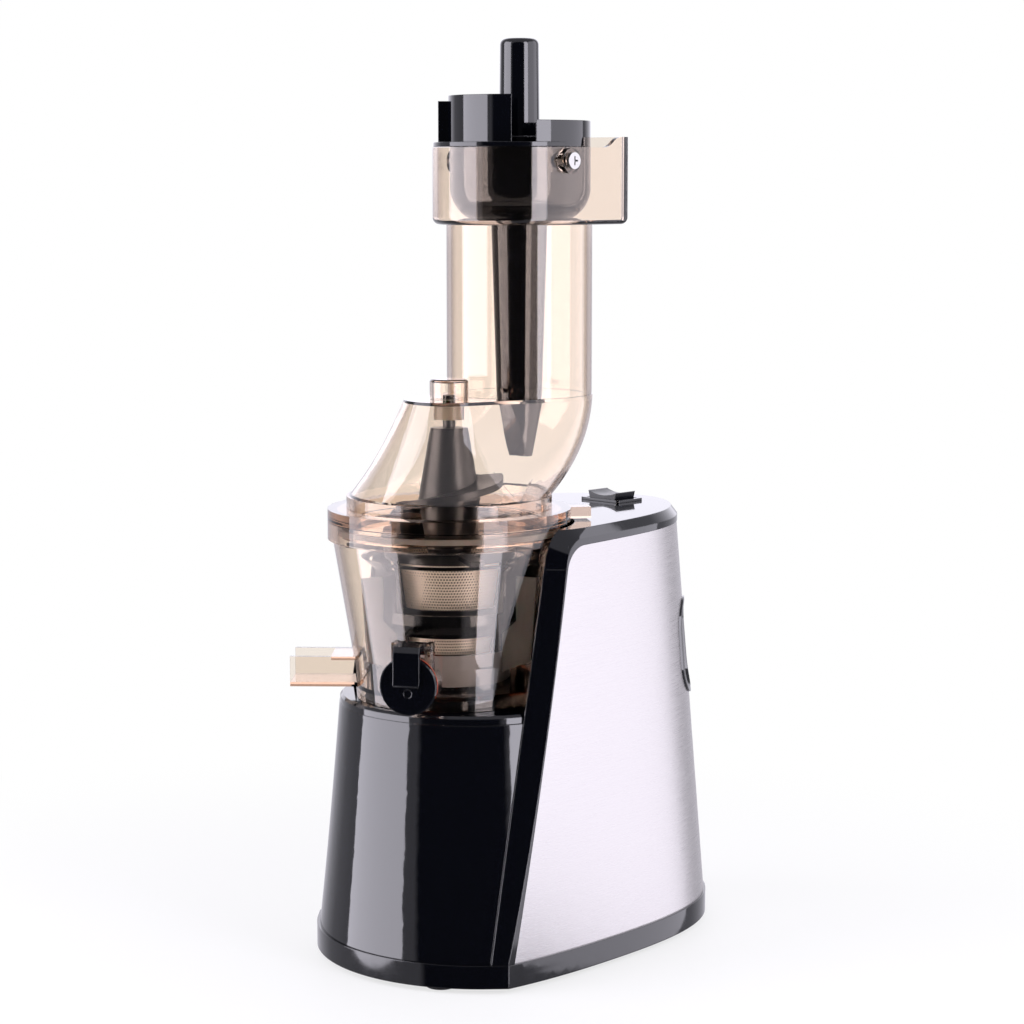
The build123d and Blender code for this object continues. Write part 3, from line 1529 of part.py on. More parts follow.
with BuildPart() as feed_chute:
    disc(chute_axis, lid_top_z, hopper_floor_z, chute_radius, chute_radius - chute_wall)
save(feed_chute.part, "feed_chute")


# =========================================================== hopper and flap
def hopper_outline(z, inset, back_y=hopper_back_y):
    """Plan of the hopper: a round front and a squared back."""
    half = hopper_half_width - inset
    back = back_y - inset
    with BuildSketch(Plane.XY.offset(z)) as outline:
        with BuildLine():
            ThreePointArc(
                (-half, hopper_front_y), (0, hopper_front_y - half), (half, hopper_front_y)
            )
            Line((half, hopper_front_y), (half, back))
            Line((half, back), (-half, back))
            Line((-half, back), (-half, hopper_front_y))
        make_face()
        fillet(outline.vertices().group_by(Axis.Y)[-1], hopper_edge_radius)
    return outline.sketch


rim_step_middle = (sum(rim_step_y) / 2, (hopper_rim_z + hopper_back_rim_z) / 2)
with BuildPart() as hopper:
    extrude(hopper_outline(hopper_floor_z, 0), amount=hopper_back_rim_z - hopper_floor_z)
    with BuildSketch(Plane.YZ):
        with BuildLine():
            Line((-far, hopper_rim_z), (rim_step_y[0], hopper_rim_z))
            TangentArc((rim_step_y[0], hopper_rim_z), rim_step_middle, tangent=(1, 0))
            TangentArc((rim_step_y[1], hopper_back_rim_z), rim_step_middle, tangent=(-1, 0))
            Line((rim_step_y[1], hopper_back_rim_z), (far, hopper_back_rim_z))
            Line((far, hopper_back_rim_z), (far, far))
            Line((far, far), (-far, far))
            Line((-far, far), (-far, hopper_rim_z))
        make_face()
    extrude(amount=far / 2, both=True, mode=Mode.INTERSECT)
    fillet(hopper.faces().sort_by(Axis.Z)[0].edges(), hopper_edge_radius - 1)
    inside = hopper_outline(hopper_floor_z + hopper_floor, hopper_wall)
    extrude(inside, amount=far, mode=Mode.SUBTRACT)
    disc(chute_axis, hopper_floor_z, far * 3, chute_radius - chute_wall, mode=Mode.SUBTRACT)
    for side in (1, -1):
        with BuildSketch(Plane.YZ.offset(side * (hopper_half_width - hopper_wall))):
            with Locations((pivot_y, pivot_z)):
                Circle(boss_radius)
        extrude(amount=side * (hopper_wall + boss_height))
    with Locations((0, pivot_y, pivot_z)):
        Cylinder(pivot_radius, far, rotation=(0, 90, 0), mode=Mode.SUBTRACT)
save(hopper.part, "hopper")

boss_face_x = hopper_half_width + boss_height
cup_boss_x = cup_radius - cup_wall - 1.5
with BuildPart() as pivot_screws:
    for side in (1, -1):
        with BuildSketch(Plane.YZ.offset(side * boss_face_x)):
            with Locations((pivot_y, pivot_z)):
                Circle(screw_head_radius)
        extrude(amount=side * 2.2)
        with BuildSketch(Plane.YZ.offset(side * (cup_boss_x + 1))):
            with Locations((pivot_y, pivot_z)):
                Circle(pivot_radius - shaft_gap)
        extrude(amount=side * (boss_face_x - cup_boss_x - 1))
        with BuildSketch(Plane.YZ.offset(side * (boss_face_x + 2.2))):
            with Locations((pivot_y, pivot_z)):
                Rectangle(5, 1)
                Rectangle(1, 5)
        extrude(amount=-side * 1.3, mode=Mode.SUBTRACT)
save(pivot_screws.part, "pivot_screws")

sleeve_inner = pusher_body_radius + sleeve_gap
sleeve_outer = sleeve_inner + sleeve_wall
cup_plane = Plane(origin=(0, chute_y, 0), x_dir=(1, 0, 0), z_dir=(0, -1, 0))
cup_axis = Axis((0, chute_y, 0), (0, 0, 1))
cup_flange_top_z = cup_rim_z + cup_flange
arc_share = math.sqrt(0.5)


def cup_half_section(inset):
    """Half section of the round-bottomed cup, inset for its inside."""
    outer = cup_radius - inset
    low = cup_bottom_z + inset
    round_radius = cup_bottom_round - inset
    round_x = cup_radius - cup_bottom_round
    round_z = cup_bottom_z + cup_bottom_round
    with BuildSketch(cup_plane) as half_section:
        with BuildLine():
            Line((0, low), (round_x, low))
            ThreePointArc(
                (round_x, low),
                (round_x + round_radius * arc_share, round_z - round_radius * arc_share),
                (outer, round_z),
            )
            Line((outer, round_z), (outer, cup_flange_top_z))
            Line((outer, cup_flange_top_z), (0, cup_flange_top_z))
            Line((0, cup_flange_top_z), (0, low))
        make_face()
    return half_section.sketch


with BuildPart() as feed_flap:
    revolve(cup_half_section(0), axis=cup_axis)
    front_half = hopper_outline(cup_rim_z, 0.5)
    extrude(front_half, amount=cup_flange)
    with BuildSketch(Plane.XY.offset(cup_rim_z)):
        with Locations((0, pivot_y + far / 2)):
            Rectangle(far, far)
        with Locations(chute_axis):
            Circle(cup_upper_radius, mode=Mode.SUBTRACT)
    extrude(amount=cup_flange, mode=Mode.SUBTRACT)
    upper_wall = cup_upper_radius - cup_wall
    disc(chute_axis, cup_rim_z, cup_front_wall_z, cup_upper_radius, upper_wall)
    with BuildSketch(Plane.XY.offset(cup_back_wall_z)):
        with Locations((0, pivot_y - 21 + far / 2)):
            Rectangle(far, far)
    extrude(amount=far, mode=Mode.SUBTRACT)
    revolve(cup_half_section(cup_wall), axis=cup_axis, mode=Mode.SUBTRACT)
    disc(chute_axis, cup_flange_top_z - 1, far * 3, upper_wall, mode=Mode.SUBTRACT)
    disc(chute_axis, cup_bottom_z, cup_flange_top_z, sleeve_outer)
    disc(chute_axis, cup_bottom_z, far * 3, sleeve_inner, mode=Mode.SUBTRACT)
    for angle in (cup_slot_angle, 180 - cup_slot_angle):
        with BuildSketch(Plane.XY.offset(cup_flange_top_z)):
            with Locations(Location((0, chute_y, 0), (0, 0, angle))):
                with Locations((cup_upper_radius, 0)):
                    Rectangle(12, cup_slot_width)
        extrude(amount=far, mode=Mode.SUBTRACT)
    with BuildSketch(Plane.XY.offset(cup_rim_z)):
        with Locations(Location((0, chute_y, 0), (0, 0, fin_angle))):
            with Locations(((cup_upper_radius + fin_reach) / 2 - 0.5, 0)):
                Rectangle(fin_reach - cup_upper_radius + 1, fin_width)
    extrude(amount=fin_top_z - cup_rim_z)
    boss_length = hopper_half_width - hopper_wall - boss_room - cup_boss_x
    for side in (1, -1):
        with BuildSketch(Plane.YZ.offset(side * cup_boss_x)):
            with Locations((pivot_y, pivot_z)):
                Circle(pivot_radius + 2.5)
        extrude(amount=side * boss_length)
    with Locations((0, pivot_y, pivot_z)):
        for side in (1, -1):
            with Locations((side * (cup_boss_x + far / 2 - 1), 0, 0)):
                Cylinder(pivot_radius, far, rotation=(0, 90, 0), mode=Mode.SUBTRACT)
save(feed_flap.part, "feed_flap")

# =================================================================== pusher
shoulder_z = cup_flange_top_z + slide_gap
with BuildPart() as pusher:
    with BuildSketch(cup_plane):
        with BuildLine():
            Polyline(
                (0, pusher_tip_z),
                (pusher_tip_radius, pusher_tip_z),
                (pusher_foot_radius, pusher_foot_z),
                (pusher_body_radius, hopper_floor_z),
                (pusher_body_radius, shoulder_z),
                (collar_radius, shoulder_z),
                (collar_radius, shoulder_z + collar_height),
                (handle_radius + 0.5, shoulder_z + collar_height),
                (handle_radius, pusher_top_z),
                (0, pusher_top_z),
                close=True,
            )
        make_face()
    revolve(axis=cup_axis)
    fillet(pusher.faces().sort_by(Axis.Z)[-1].edges(), 3.5)
    with BuildSketch(Plane.YZ):
        with BuildLine():
            Polyline(
                (chute_y - far, pusher_foot_z),
                (chute_y - pusher_foot_radius, pusher_foot_z),
                (chute_y - pusher_tip_width / 2, pusher_tip_z),
                (chute_y - far, pusher_tip_z),
                close=True,
            )
            Polyline(
                (chute_y + far, pusher_foot_z),
                (chute_y + pusher_foot_radius, pusher_foot_z),
                (chute_y + pusher_tip_width / 2, pusher_tip_z),
                (chute_y + far, pusher_tip_z),
                close=True,
            )
        make_face()
    extrude(amount=far / 2, both=True, mode=Mode.SUBTRACT)
save(pusher.part, "pusher")
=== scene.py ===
# %% [markdown]
# # Cold press juicer
# A cold press juicer stands on a worktop: a steel-clad motor base with a
# clear bowl, a lid, a wide feed chute, a hopper and a pusher stacked over it.
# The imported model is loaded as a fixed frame, and each finish is built on it.

# %% Load the frame
import math

import bpy
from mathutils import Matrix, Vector

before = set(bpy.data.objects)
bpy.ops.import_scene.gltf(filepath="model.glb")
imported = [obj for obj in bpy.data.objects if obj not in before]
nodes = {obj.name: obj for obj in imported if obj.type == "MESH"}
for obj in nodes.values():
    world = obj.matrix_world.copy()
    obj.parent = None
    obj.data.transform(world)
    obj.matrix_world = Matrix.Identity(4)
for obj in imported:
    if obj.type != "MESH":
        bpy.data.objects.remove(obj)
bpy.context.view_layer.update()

bpy.ops.object.select_all(action="DESELECT")

# %% [markdown]
# ## Camera
# A product camera stands a good metre and a half away, slightly to the right
# of the front corner and just above the bowl, so the long lens keeps the
# upright lines nearly parallel. It looks down a little, so the top of the
# motor housing shows as a thin ellipse.

# %% Camera
lens_length = 90.9        # millimetres
sensor_width = 36.0       # millimetres
camera_place = (1.0358, -1.0003, 0.442)
look_down = 7.4           # degrees below level
camera_heading = 44.6     # degrees from the front towards the right side

camera_data = bpy.data.cameras.new("camera")
camera_data.lens = lens_length
camera_data.sensor_width = sensor_width
camera = bpy.data.objects.new("camera", camera_data)
bpy.context.scene.collection.objects.link(camera)
camera.location = camera_place
camera.rotation_euler = (math.radians(90 - look_down), 0, math.radians(camera_heading))
bpy.context.scene.camera = camera
print("camera", tuple(camera.location))

# %% [markdown]
# ## Colour and node helpers
# Colours are picked as sRGB hex values, as in any paint program, while the
# renderer works in linear light, so one function does the conversion. A
# second small function adds a shader node, sets its values and links it.
# Patterns read Object coordinates, which are metres here, so a noise scale of
# 45 repeats about every 1/45 m, or 22 mm.

# %% Helpers
def paint(code):
    """Turn an sRGB hex colour into linear RGBA."""
    channels = [int(code[i:i + 2], 16) / 255 for i in (1, 3, 5)]
    linear = [c / 12.92 if c <= 0.04045 else ((c + 0.055) / 1.055) ** 2.4 for c in channels]
    return (*linear, 1.0)


def add_node(tree, kind, inputs=None, links=None, **settings):
    """Add a node, set its properties and inputs, and link what feeds it."""
    node = tree.nodes.new(kind)
    for name, value in settings.items():
        setattr(node, name, value)
    for name, value in (inputs or {}).items():
        node.inputs[name].default_value = value
    for name, socket in (links or {}).items():
        tree.links.new(socket, node.inputs[name])
    return node


def new_material(name):
    """A material with an empty node tree and a Principled shader."""
    material = bpy.data.materials.new(name)
    material.use_nodes = True
    tree = material.node_tree
    tree.nodes.clear()
    shader = add_node(tree, "ShaderNodeBsdfPrincipled")
    add_node(tree, "ShaderNodeOutputMaterial", links={"Surface": shader.outputs[0]})
    return material, tree, shader


def output_of(tree):
    """The node at the end of a material's tree."""
    return next(node for node in tree.nodes if node.type == "OUTPUT_MATERIAL")


def dress(material, *names):
    """Give CAD nodes a material."""
    for name in names:
        slots = nodes[name].data.materials
        slots.clear()
        slots.append(material)
        for polygon in nodes[name].data.polygons:
            polygon.material_index = 0
    print(material.name, "on", ", ".join(names))


# %% [markdown]
# ## Gloss black ABS
# The base, deck, trim and top cover are injection-moulded ABS from a polished
# tool. It is nearly black, with a mirror-like skin: what the eye reads is the
# studio in it. A very faint waviness keeps long reflections from looking like
# glass, and fine handling marks vary the roughness a little. The inner parts
# and the rocker come from a tool with a satin skin, so they share the recipe
# with a higher roughness.

# %% Black ABS
abs_ior = 1.6                # a little over plain ABS, for the polished skin
abs_specular = 0.7
abs_waves = 45.0             # per metre: moulding waves about 22 mm long
abs_marks = 180.0            # per metre: handling marks about 6 mm across
abs_corner = 0.0007          # metres: how far a moulded corner is rounded


def black_abs(name, colour, roughness, ripple, marks):
    """Moulded black ABS; ripple is the waviness, marks the spread of gloss."""
    material, tree, shader = new_material(name)
    shader.inputs["Base Color"].default_value = paint(colour)
    shader.inputs["IOR"].default_value = abs_ior
    shader.inputs["Specular IOR Level"].default_value = abs_specular
    place = add_node(tree, "ShaderNodeTexCoord")
    wave = add_node(
        tree, "ShaderNodeTexNoise",
        inputs={"Scale": abs_waves, "Detail": 1.0},
        links={"Vector": place.outputs["Object"]},
    )
    bevel = add_node(tree, "ShaderNodeBevel", inputs={"Radius": abs_corner}, samples=4)
    bump = add_node(
        tree, "ShaderNodeBump",
        inputs={"Strength": ripple, "Distance": 0.0004},
        links={"Height": wave.outputs["Fac"], "Normal": bevel.outputs["Normal"]},
    )
    tree.links.new(bump.outputs["Normal"], shader.inputs["Normal"])
    smear = add_node(
        tree, "ShaderNodeTexNoise",
        inputs={"Scale": abs_marks, "Detail": 4.0, "Roughness": 0.7},
        links={"Vector": place.outputs["Object"]},
    )
    level = add_node(
        tree, "ShaderNodeMapRange",
        inputs={
            "From Min": 0.35, "From Max": 0.75,
            "To Min": roughness, "To Max": roughness + marks,
        },
        links={"Value": smear.outputs["Fac"]},
    )
    tree.links.new(level.outputs["Result"], shader.inputs["Roughness"])
    return material


gloss_black = black_abs("gloss black moulded ABS", "#04050A", roughness=0.04, ripple=0.05, marks=0.04)
dress(
    gloss_black, "base_pan", "front_shell", "deck", "top_cover", "trim_left", "trim_right",
    "grip_cup_left", "grip_cup_right", "rear_frame", "switch_body", "juice_cap", "cap_lever",
    "feed_flap", "pusher",
)
satin_black = black_abs("satin black moulded ABS", "#0B0C12", roughness=0.28, ripple=0.10, marks=0.10)
dress(
    satin_black, "rocker", "power_inlet", "strainer_frame", "auger", "lock_sensor",
    "motor_bell", "motor_fan",
)

# %% [markdown]
# ## Clear smoke copolymer
# The bowl, lid, chute and hopper are moulded from a clear food copolymer with
# a light amber smoke tint. Light that crosses one thin wall keeps most of its
# strength; along an edge it runs through more plastic and comes out brown.
# The walls are real solids here, so a clear shader with true refraction and a
# weak absorption inside shows most of that. Where a wall is seen nearly edge on,
# a layer weight darkens its colour to brown: painted shade along the edges.

# %% Clear smoke plastic
copolymer_ior = 1.56
copolymer_waves = 28.0       # per metre: flow waves about 36 mm long
edge_shade_view = (0.55, 0.97)     # where the painted edge shade starts, and where it is full


def clear_plastic(name, tint, edge_shade_colour, depth_tint, density, roughness):
    """A clear wall; depth_tint and density say what its thickness absorbs."""
    material, tree, shader = new_material(name)
    # Painted shade: a layer weight turns the colour brown where the wall is seen edge on.
    grazing = add_node(tree, "ShaderNodeLayerWeight", inputs={"Blend": 0.5})
    edge = add_node(
        tree, "ShaderNodeMapRange", interpolation_type="SMOOTHSTEP",
        inputs={"From Min": edge_shade_view[0], "From Max": edge_shade_view[1]},
        links={"Value": grazing.outputs["Facing"]},
    )
    tone = add_node(tree, "ShaderNodeMix", data_type="RGBA", links={"Factor": edge.outputs["Result"]})
    tone.inputs["A"].default_value = paint(tint)
    tone.inputs["B"].default_value = paint(edge_shade_colour)
    tree.links.new(tone.outputs["Result"], shader.inputs["Base Color"])
    shader.inputs["Transmission Weight"].default_value = 1.0
    shader.inputs["IOR"].default_value = copolymer_ior
    shader.inputs["Roughness"].default_value = roughness
    inside = add_node(
        tree, "ShaderNodeVolumeAbsorption",
        inputs={"Color": paint(depth_tint), "Density": density},
    )
    tree.links.new(inside.outputs[0], output_of(tree).inputs["Volume"])
    place = add_node(tree, "ShaderNodeTexCoord")
    wave = add_node(
        tree, "ShaderNodeTexNoise",
        inputs={"Scale": copolymer_waves, "Detail": 1.5},
        links={"Vector": place.outputs["Object"]},
    )
    bump = add_node(
        tree, "ShaderNodeBump",
        inputs={"Strength": 0.08, "Distance": 0.0004},
        links={"Height": wave.outputs["Fac"]},
    )
    tree.links.new(bump.outputs["Normal"], shader.inputs["Normal"])
    return material


# The brown edge colour is painted shade for walls seen edge on.
smoke_clear = clear_plastic(
    "clear amber smoke copolymer", tint="#FDF6EE", edge_shade_colour="#7D6656", depth_tint="#DDB07C",
    density=44.0, roughness=0.01,
)
dress(smoke_clear, "bowl", "lid", "feed_chute", "hopper", "bearing_cap")

# %% [markdown]
# ## Brushed stainless steel
# The housing's skin is thin stainless sheet, brushed level with an abrasive
# belt. The strokes are much longer than they are wide, so the noise that cuts
# them is stretched along the level direction, and the gloss spreads across
# the strokes. Pins, shafts and screws are turned, with much shorter strokes.

# %% Brushed steel
sheet_strokes = (45.0, 45.0, 3400.0)      # per metre: 22 mm long and 0.3 mm wide
turned_strokes = (400.0, 400.0, 3000.0)   # per metre: 2.5 mm long and 0.3 mm wide


def brushed_steel(name, colours, roughness, spread, strokes_per_metre, depth):
    """Steel cut by level strokes; spread is the anisotropy, depth the relief."""
    material, tree, shader = new_material(name)
    shader.inputs["Metallic"].default_value = 1.0
    shader.inputs["Anisotropic"].default_value = spread
    place = add_node(tree, "ShaderNodeTexCoord")
    along = add_node(
        tree, "ShaderNodeMapping",
        inputs={"Scale": strokes_per_metre},
        links={"Vector": place.outputs["Object"]},
    )
    strokes = add_node(
        tree, "ShaderNodeTexNoise",
        inputs={"Scale": 1.0, "Detail": 4.0, "Roughness": 0.65},
        links={"Vector": along.outputs["Vector"]},
    )
    tone = add_node(tree, "ShaderNodeMix", data_type="RGBA", links={"Factor": strokes.outputs["Fac"]})
    tone.inputs["A"].default_value = paint(colours[0])
    tone.inputs["B"].default_value = paint(colours[1])
    tree.links.new(tone.outputs["Result"], shader.inputs["Base Color"])
    level = add_node(
        tree, "ShaderNodeMapRange",
        inputs={
            "From Min": 0.3, "From Max": 0.7,
            "To Min": roughness - 0.04, "To Max": roughness + 0.06,
        },
        links={"Value": strokes.outputs["Fac"]},
    )
    tree.links.new(level.outputs["Result"], shader.inputs["Roughness"])
    bump = add_node(
        tree, "ShaderNodeBump",
        inputs={"Strength": depth, "Distance": 0.0001},
        links={"Height": strokes.outputs["Fac"]},
    )
    tree.links.new(bump.outputs["Normal"], shader.inputs["Normal"])
    return material


steel_sheet = brushed_steel(
    "brushed stainless sheet", ("#BEBBBB", "#CFCCCB"), roughness=0.28, spread=0.5,
    strokes_per_metre=sheet_strokes, depth=0.12,
)
dress(steel_sheet, "steel_wrap")
turned_steel = brushed_steel(
    "turned stainless steel", ("#B9B8B6", "#D2D0CE"), roughness=0.18, spread=0.3,
    strokes_per_metre=turned_strokes, depth=0.1,
)
dress(
    turned_steel, "pivot_screws", "base_screws", "rocker_pin", "gear_pins", "drive_bearings",
    "drive_shaft", "auger_socket", "lever_pin", "inlet_pins", "motor_bearings", "motor_shaft",
    "motor_pinion",
)

# %% [markdown]
# ## Perforated strainer mesh
# The strainer's walls are thin stainless sheet with rows of tiny etched
# holes. The holes are laid out round the cone: the angle and the height of
# each point give its place in the pattern, and the sheet is left out where
# the point falls inside a hole. Every second row is shifted by half a step.
# Real holes are finer than this; they are drawn as coarse as they need to
# show.

# %% Perforated steel
mesh_columns = 120           # holes in a row round the strainer
mesh_row_height = 0.0016     # metres from row to row
mesh_hole = 0.33             # a hole's radius, as a share of its cell


def perforated_sheet(name, columns, row_height, hole):
    """Sheet with staggered rows of holes round the upright axis."""
    material, tree, shader = new_material(name)
    shader.inputs["Base Color"].default_value = paint("#F4EADF")
    shader.inputs["Metallic"].default_value = 0.3
    shader.inputs["Roughness"].default_value = 0.42
    place = add_node(tree, "ShaderNodeTexCoord")
    axes = add_node(tree, "ShaderNodeSeparateXYZ", links={0: place.outputs["Object"]})
    angle = add_node(
        tree, "ShaderNodeMath", operation="ARCTAN2",
        links={0: axes.outputs["Y"], 1: axes.outputs["X"]},
    )
    turn = add_node(
        tree, "ShaderNodeMath", operation="MULTIPLY",
        inputs={1: columns / (2 * math.pi)}, links={0: angle.outputs[0]},
    )
    row = add_node(
        tree, "ShaderNodeMath", operation="MULTIPLY",
        inputs={1: 1 / row_height}, links={0: axes.outputs["Z"]},
    )
    row_number = add_node(tree, "ShaderNodeMath", operation="FLOOR", links={0: row.outputs[0]})
    shift = add_node(
        tree, "ShaderNodeMath", operation="MULTIPLY_ADD",
        inputs={1: 0.5}, links={0: row_number.outputs[0], 2: turn.outputs[0]},
    )
    cell_x = add_node(tree, "ShaderNodeMath", operation="FRACT", links={0: shift.outputs[0]})
    cell_y = add_node(tree, "ShaderNodeMath", operation="FRACT", links={0: row.outputs[0]})
    cell = add_node(
        tree, "ShaderNodeCombineXYZ",
        links={"X": cell_x.outputs[0], "Y": cell_y.outputs[0]},
    )
    reach = add_node(
        tree, "ShaderNodeVectorMath", operation="DISTANCE",
        inputs={1: (0.5, 0.5, 0.0)}, links={0: cell.outputs[0]},
    )
    solid = add_node(
        tree, "ShaderNodeMath", operation="GREATER_THAN",
        inputs={1: hole}, links={0: reach.outputs["Value"]},
    )
    tree.links.new(solid.outputs[0], shader.inputs["Alpha"])
    return material


mesh_steel = perforated_sheet("perforated stainless strainer", mesh_columns, mesh_row_height, mesh_hole)
dress(mesh_steel, "strainer_mesh")

# %% [markdown]
# ## Silicone, rubber and acetal
# The wiping blades and the bowl's and lid's seals are soft pale silicone with
# a dull skin, and the spout's gasket is orange-red silicone. The feet and the
# shaft's seal are black rubber, and the gears are natural acetal. They share
# one recipe: two near colours mottled together, and a fine moulded grain.

# %% Soft plastics and rubber
mottle_scale = 60.0          # per metre: patches of colour about 17 mm across


def soft_plastic(name, colours, roughness, grain, depth, ior=1.45, subsurface=0.0):
    """A moulded plastic or rubber; grain is the skin's scale per metre."""
    material, tree, shader = new_material(name)
    shader.inputs["IOR"].default_value = ior
    shader.inputs["Subsurface Weight"].default_value = subsurface
    shader.inputs["Subsurface Scale"].default_value = 0.004
    place = add_node(tree, "ShaderNodeTexCoord")
    mottle = add_node(
        tree, "ShaderNodeTexNoise",
        inputs={"Scale": mottle_scale, "Detail": 3.0},
        links={"Vector": place.outputs["Object"]},
    )
    tone = add_node(tree, "ShaderNodeMix", data_type="RGBA", links={"Factor": mottle.outputs["Fac"]})
    tone.inputs["A"].default_value = paint(colours[0])
    tone.inputs["B"].default_value = paint(colours[1])
    tree.links.new(tone.outputs["Result"], shader.inputs["Base Color"])
    skin = add_node(
        tree, "ShaderNodeTexNoise",
        inputs={"Scale": grain, "Detail": 2.0},
        links={"Vector": place.outputs["Object"]},
    )
    level = add_node(
        tree, "ShaderNodeMapRange",
        inputs={
            "From Min": 0.3, "From Max": 0.7,
            "To Min": roughness - 0.05, "To Max": roughness + 0.05,
        },
        links={"Value": mottle.outputs["Fac"]},
    )
    tree.links.new(level.outputs["Result"], shader.inputs["Roughness"])
    bump = add_node(
        tree, "ShaderNodeBump",
        inputs={"Strength": depth, "Distance": 0.0002},
        links={"Height": skin.outputs["Fac"]},
    )
    tree.links.new(bump.outputs["Normal"], shader.inputs["Normal"])
    return material


silicone = soft_plastic(
    "pale silicone", ("#8D8B8B", "#9A9896"), roughness=0.5, grain=1200.0, depth=0.15,
    ior=1.41, subsurface=0.2,
)
dress(silicone, "wiper_blades", "bowl_seal", "lid_gasket")
orange_silicone = soft_plastic(
    "orange-red silicone", ("#C8401A", "#D64E22"), roughness=0.45, grain=1200.0, depth=0.15,
    ior=1.41, subsurface=0.2,
)
dress(orange_silicone, "cap_gasket")
rubber = soft_plastic(
    "black rubber", ("#0E0E10", "#17171A"), roughness=0.7, grain=1500.0, depth=0.3, ior=1.52
)
dress(rubber, "rubber_feet", "shaft_seal")
acetal = soft_plastic(
    "natural acetal", ("#DDD9CC", "#E9E5DA"), roughness=0.35, grain=900.0, depth=0.1,
    ior=1.48, subsurface=0.15,
)
dress(acetal, "first_gear", "second_gear", "output_gear", "brush_idler", "top_bush")

# %% [markdown]
# ## Two-tone brush cage
# The cage that carries the wiping blades is moulded in two shots: gloss black
# above, and a pale frosted grey for the foot that holds the ring gear. The
# height of a point decides which of the two it shows.

# %% Brush cage
cage_split = 0.1795          # metres: the height at which the two shots meet


def two_shot(name, low_colour, high_colour, split, low_roughness, high_roughness):
    """One moulding with a different colour and gloss below and above split."""
    material, tree, shader = new_material(name)
    shader.inputs["IOR"].default_value = 1.53
    place = add_node(tree, "ShaderNodeTexCoord")
    axes = add_node(tree, "ShaderNodeSeparateXYZ", links={0: place.outputs["Object"]})
    upper = add_node(
        tree, "ShaderNodeMath", operation="GREATER_THAN",
        inputs={1: split}, links={0: axes.outputs["Z"]},
    )
    tone = add_node(tree, "ShaderNodeMix", data_type="RGBA", links={"Factor": upper.outputs[0]})
    tone.inputs["A"].default_value = paint(low_colour)
    tone.inputs["B"].default_value = paint(high_colour)
    tree.links.new(tone.outputs["Result"], shader.inputs["Base Color"])
    level = add_node(
        tree, "ShaderNodeMapRange",
        inputs={"To Min": low_roughness, "To Max": high_roughness},
        links={"Value": upper.outputs[0]},
    )
    tree.links.new(level.outputs["Result"], shader.inputs["Roughness"])
    skin = add_node(
        tree, "ShaderNodeTexNoise",
        inputs={"Scale": 900.0, "Detail": 2.0},
        links={"Vector": place.outputs["Object"]},
    )
    bump = add_node(
        tree, "ShaderNodeBump",
        inputs={"Strength": 0.08, "Distance": 0.0002},
        links={"Height": skin.outputs["Fac"]},
    )
    tree.links.new(bump.outputs["Normal"], shader.inputs["Normal"])
    return material


cage_plastic = two_shot(
    "two-shot cage plastic", low_colour="#8F8B8D", high_colour="#06070B", split=cage_split,
    low_roughness=0.40, high_roughness=0.08,
)
dress(cage_plastic, "brush_frame")

# %% [markdown]
# ## Inside the base
# The gearbox is die-cast aluminium, sandy and dull from the mould. The motor
# can is zinc plated, its magnets are dark ferrite, and the rotor is lacquered
# iron and copper. The board is green glass laminate.

# %% Castings and motor
def cast_metal(name, colours, roughness, grain, depth):
    """Bare or plated metal; grain is the surface's scale per metre."""
    material, tree, shader = new_material(name)
    shader.inputs["Metallic"].default_value = 1.0
    place = add_node(tree, "ShaderNodeTexCoord")
    sand = add_node(
        tree, "ShaderNodeTexNoise",
        inputs={"Scale": grain, "Detail": 5.0, "Roughness": 0.7},
        links={"Vector": place.outputs["Object"]},
    )
    tone = add_node(tree, "ShaderNodeMix", data_type="RGBA", links={"Factor": sand.outputs["Fac"]})
    tone.inputs["A"].default_value = paint(colours[0])
    tone.inputs["B"].default_value = paint(colours[1])
    tree.links.new(tone.outputs["Result"], shader.inputs["Base Color"])
    level = add_node(
        tree, "ShaderNodeMapRange",
        inputs={
            "From Min": 0.3, "From Max": 0.7,
            "To Min": roughness - 0.06, "To Max": roughness + 0.06,
        },
        links={"Value": sand.outputs["Fac"]},
    )
    tree.links.new(level.outputs["Result"], shader.inputs["Roughness"])
    bump = add_node(
        tree, "ShaderNodeBump",
        inputs={"Strength": depth, "Distance": 0.0003},
        links={"Height": sand.outputs["Fac"]},
    )
    tree.links.new(bump.outputs["Normal"], shader.inputs["Normal"])
    return material


cast_aluminium = cast_metal(
    "die-cast aluminium", ("#A9ABAE", "#C2C4C6"), roughness=0.45, grain=700.0, depth=0.3
)
dress(cast_aluminium, "gear_case", "gear_cover")
zinc_plate = cast_metal(
    "zinc-plated steel", ("#7E8287", "#9DA1A6"), roughness=0.32, grain=220.0, depth=0.1
)
dress(zinc_plate, "motor_can")
lacquered_core = cast_metal(
    "lacquered iron and copper", ("#6B5140", "#9A6A48"), roughness=0.4, grain=500.0, depth=0.3
)
dress(lacquered_core, "rotor_core")
copper = cast_metal("turned copper", ("#B87348", "#D08A5C"), roughness=0.25, grain=400.0, depth=0.1)
dress(copper, "commutator")
ferrite = soft_plastic(
    "ferrite", ("#26262A", "#323238"), roughness=0.6, grain=900.0, depth=0.3, ior=1.8
)
dress(ferrite, "motor_magnets")
laminate = soft_plastic(
    "green board laminate", ("#0F4A2A", "#135A33"), roughness=0.35, grain=1500.0, depth=0.1, ior=1.5
)
dress(laminate, "control_board")
components = soft_plastic(
    "moulded components", ("#1B1C22", "#2A2B33"), roughness=0.4, grain=900.0, depth=0.1, ior=1.5
)
dress(components, "board_parts")

# %% [markdown]
# ## Studio
# Gloss black shows nothing but the studio, so the world is built as one: grey
# walls, a bright sweep behind the juicer, and a dark gap where the camera
# stands. Black plastic shows a lavender band at each side and stays black
# between them. The camera, and rays that go straight through clear walls,
# see plain white instead.

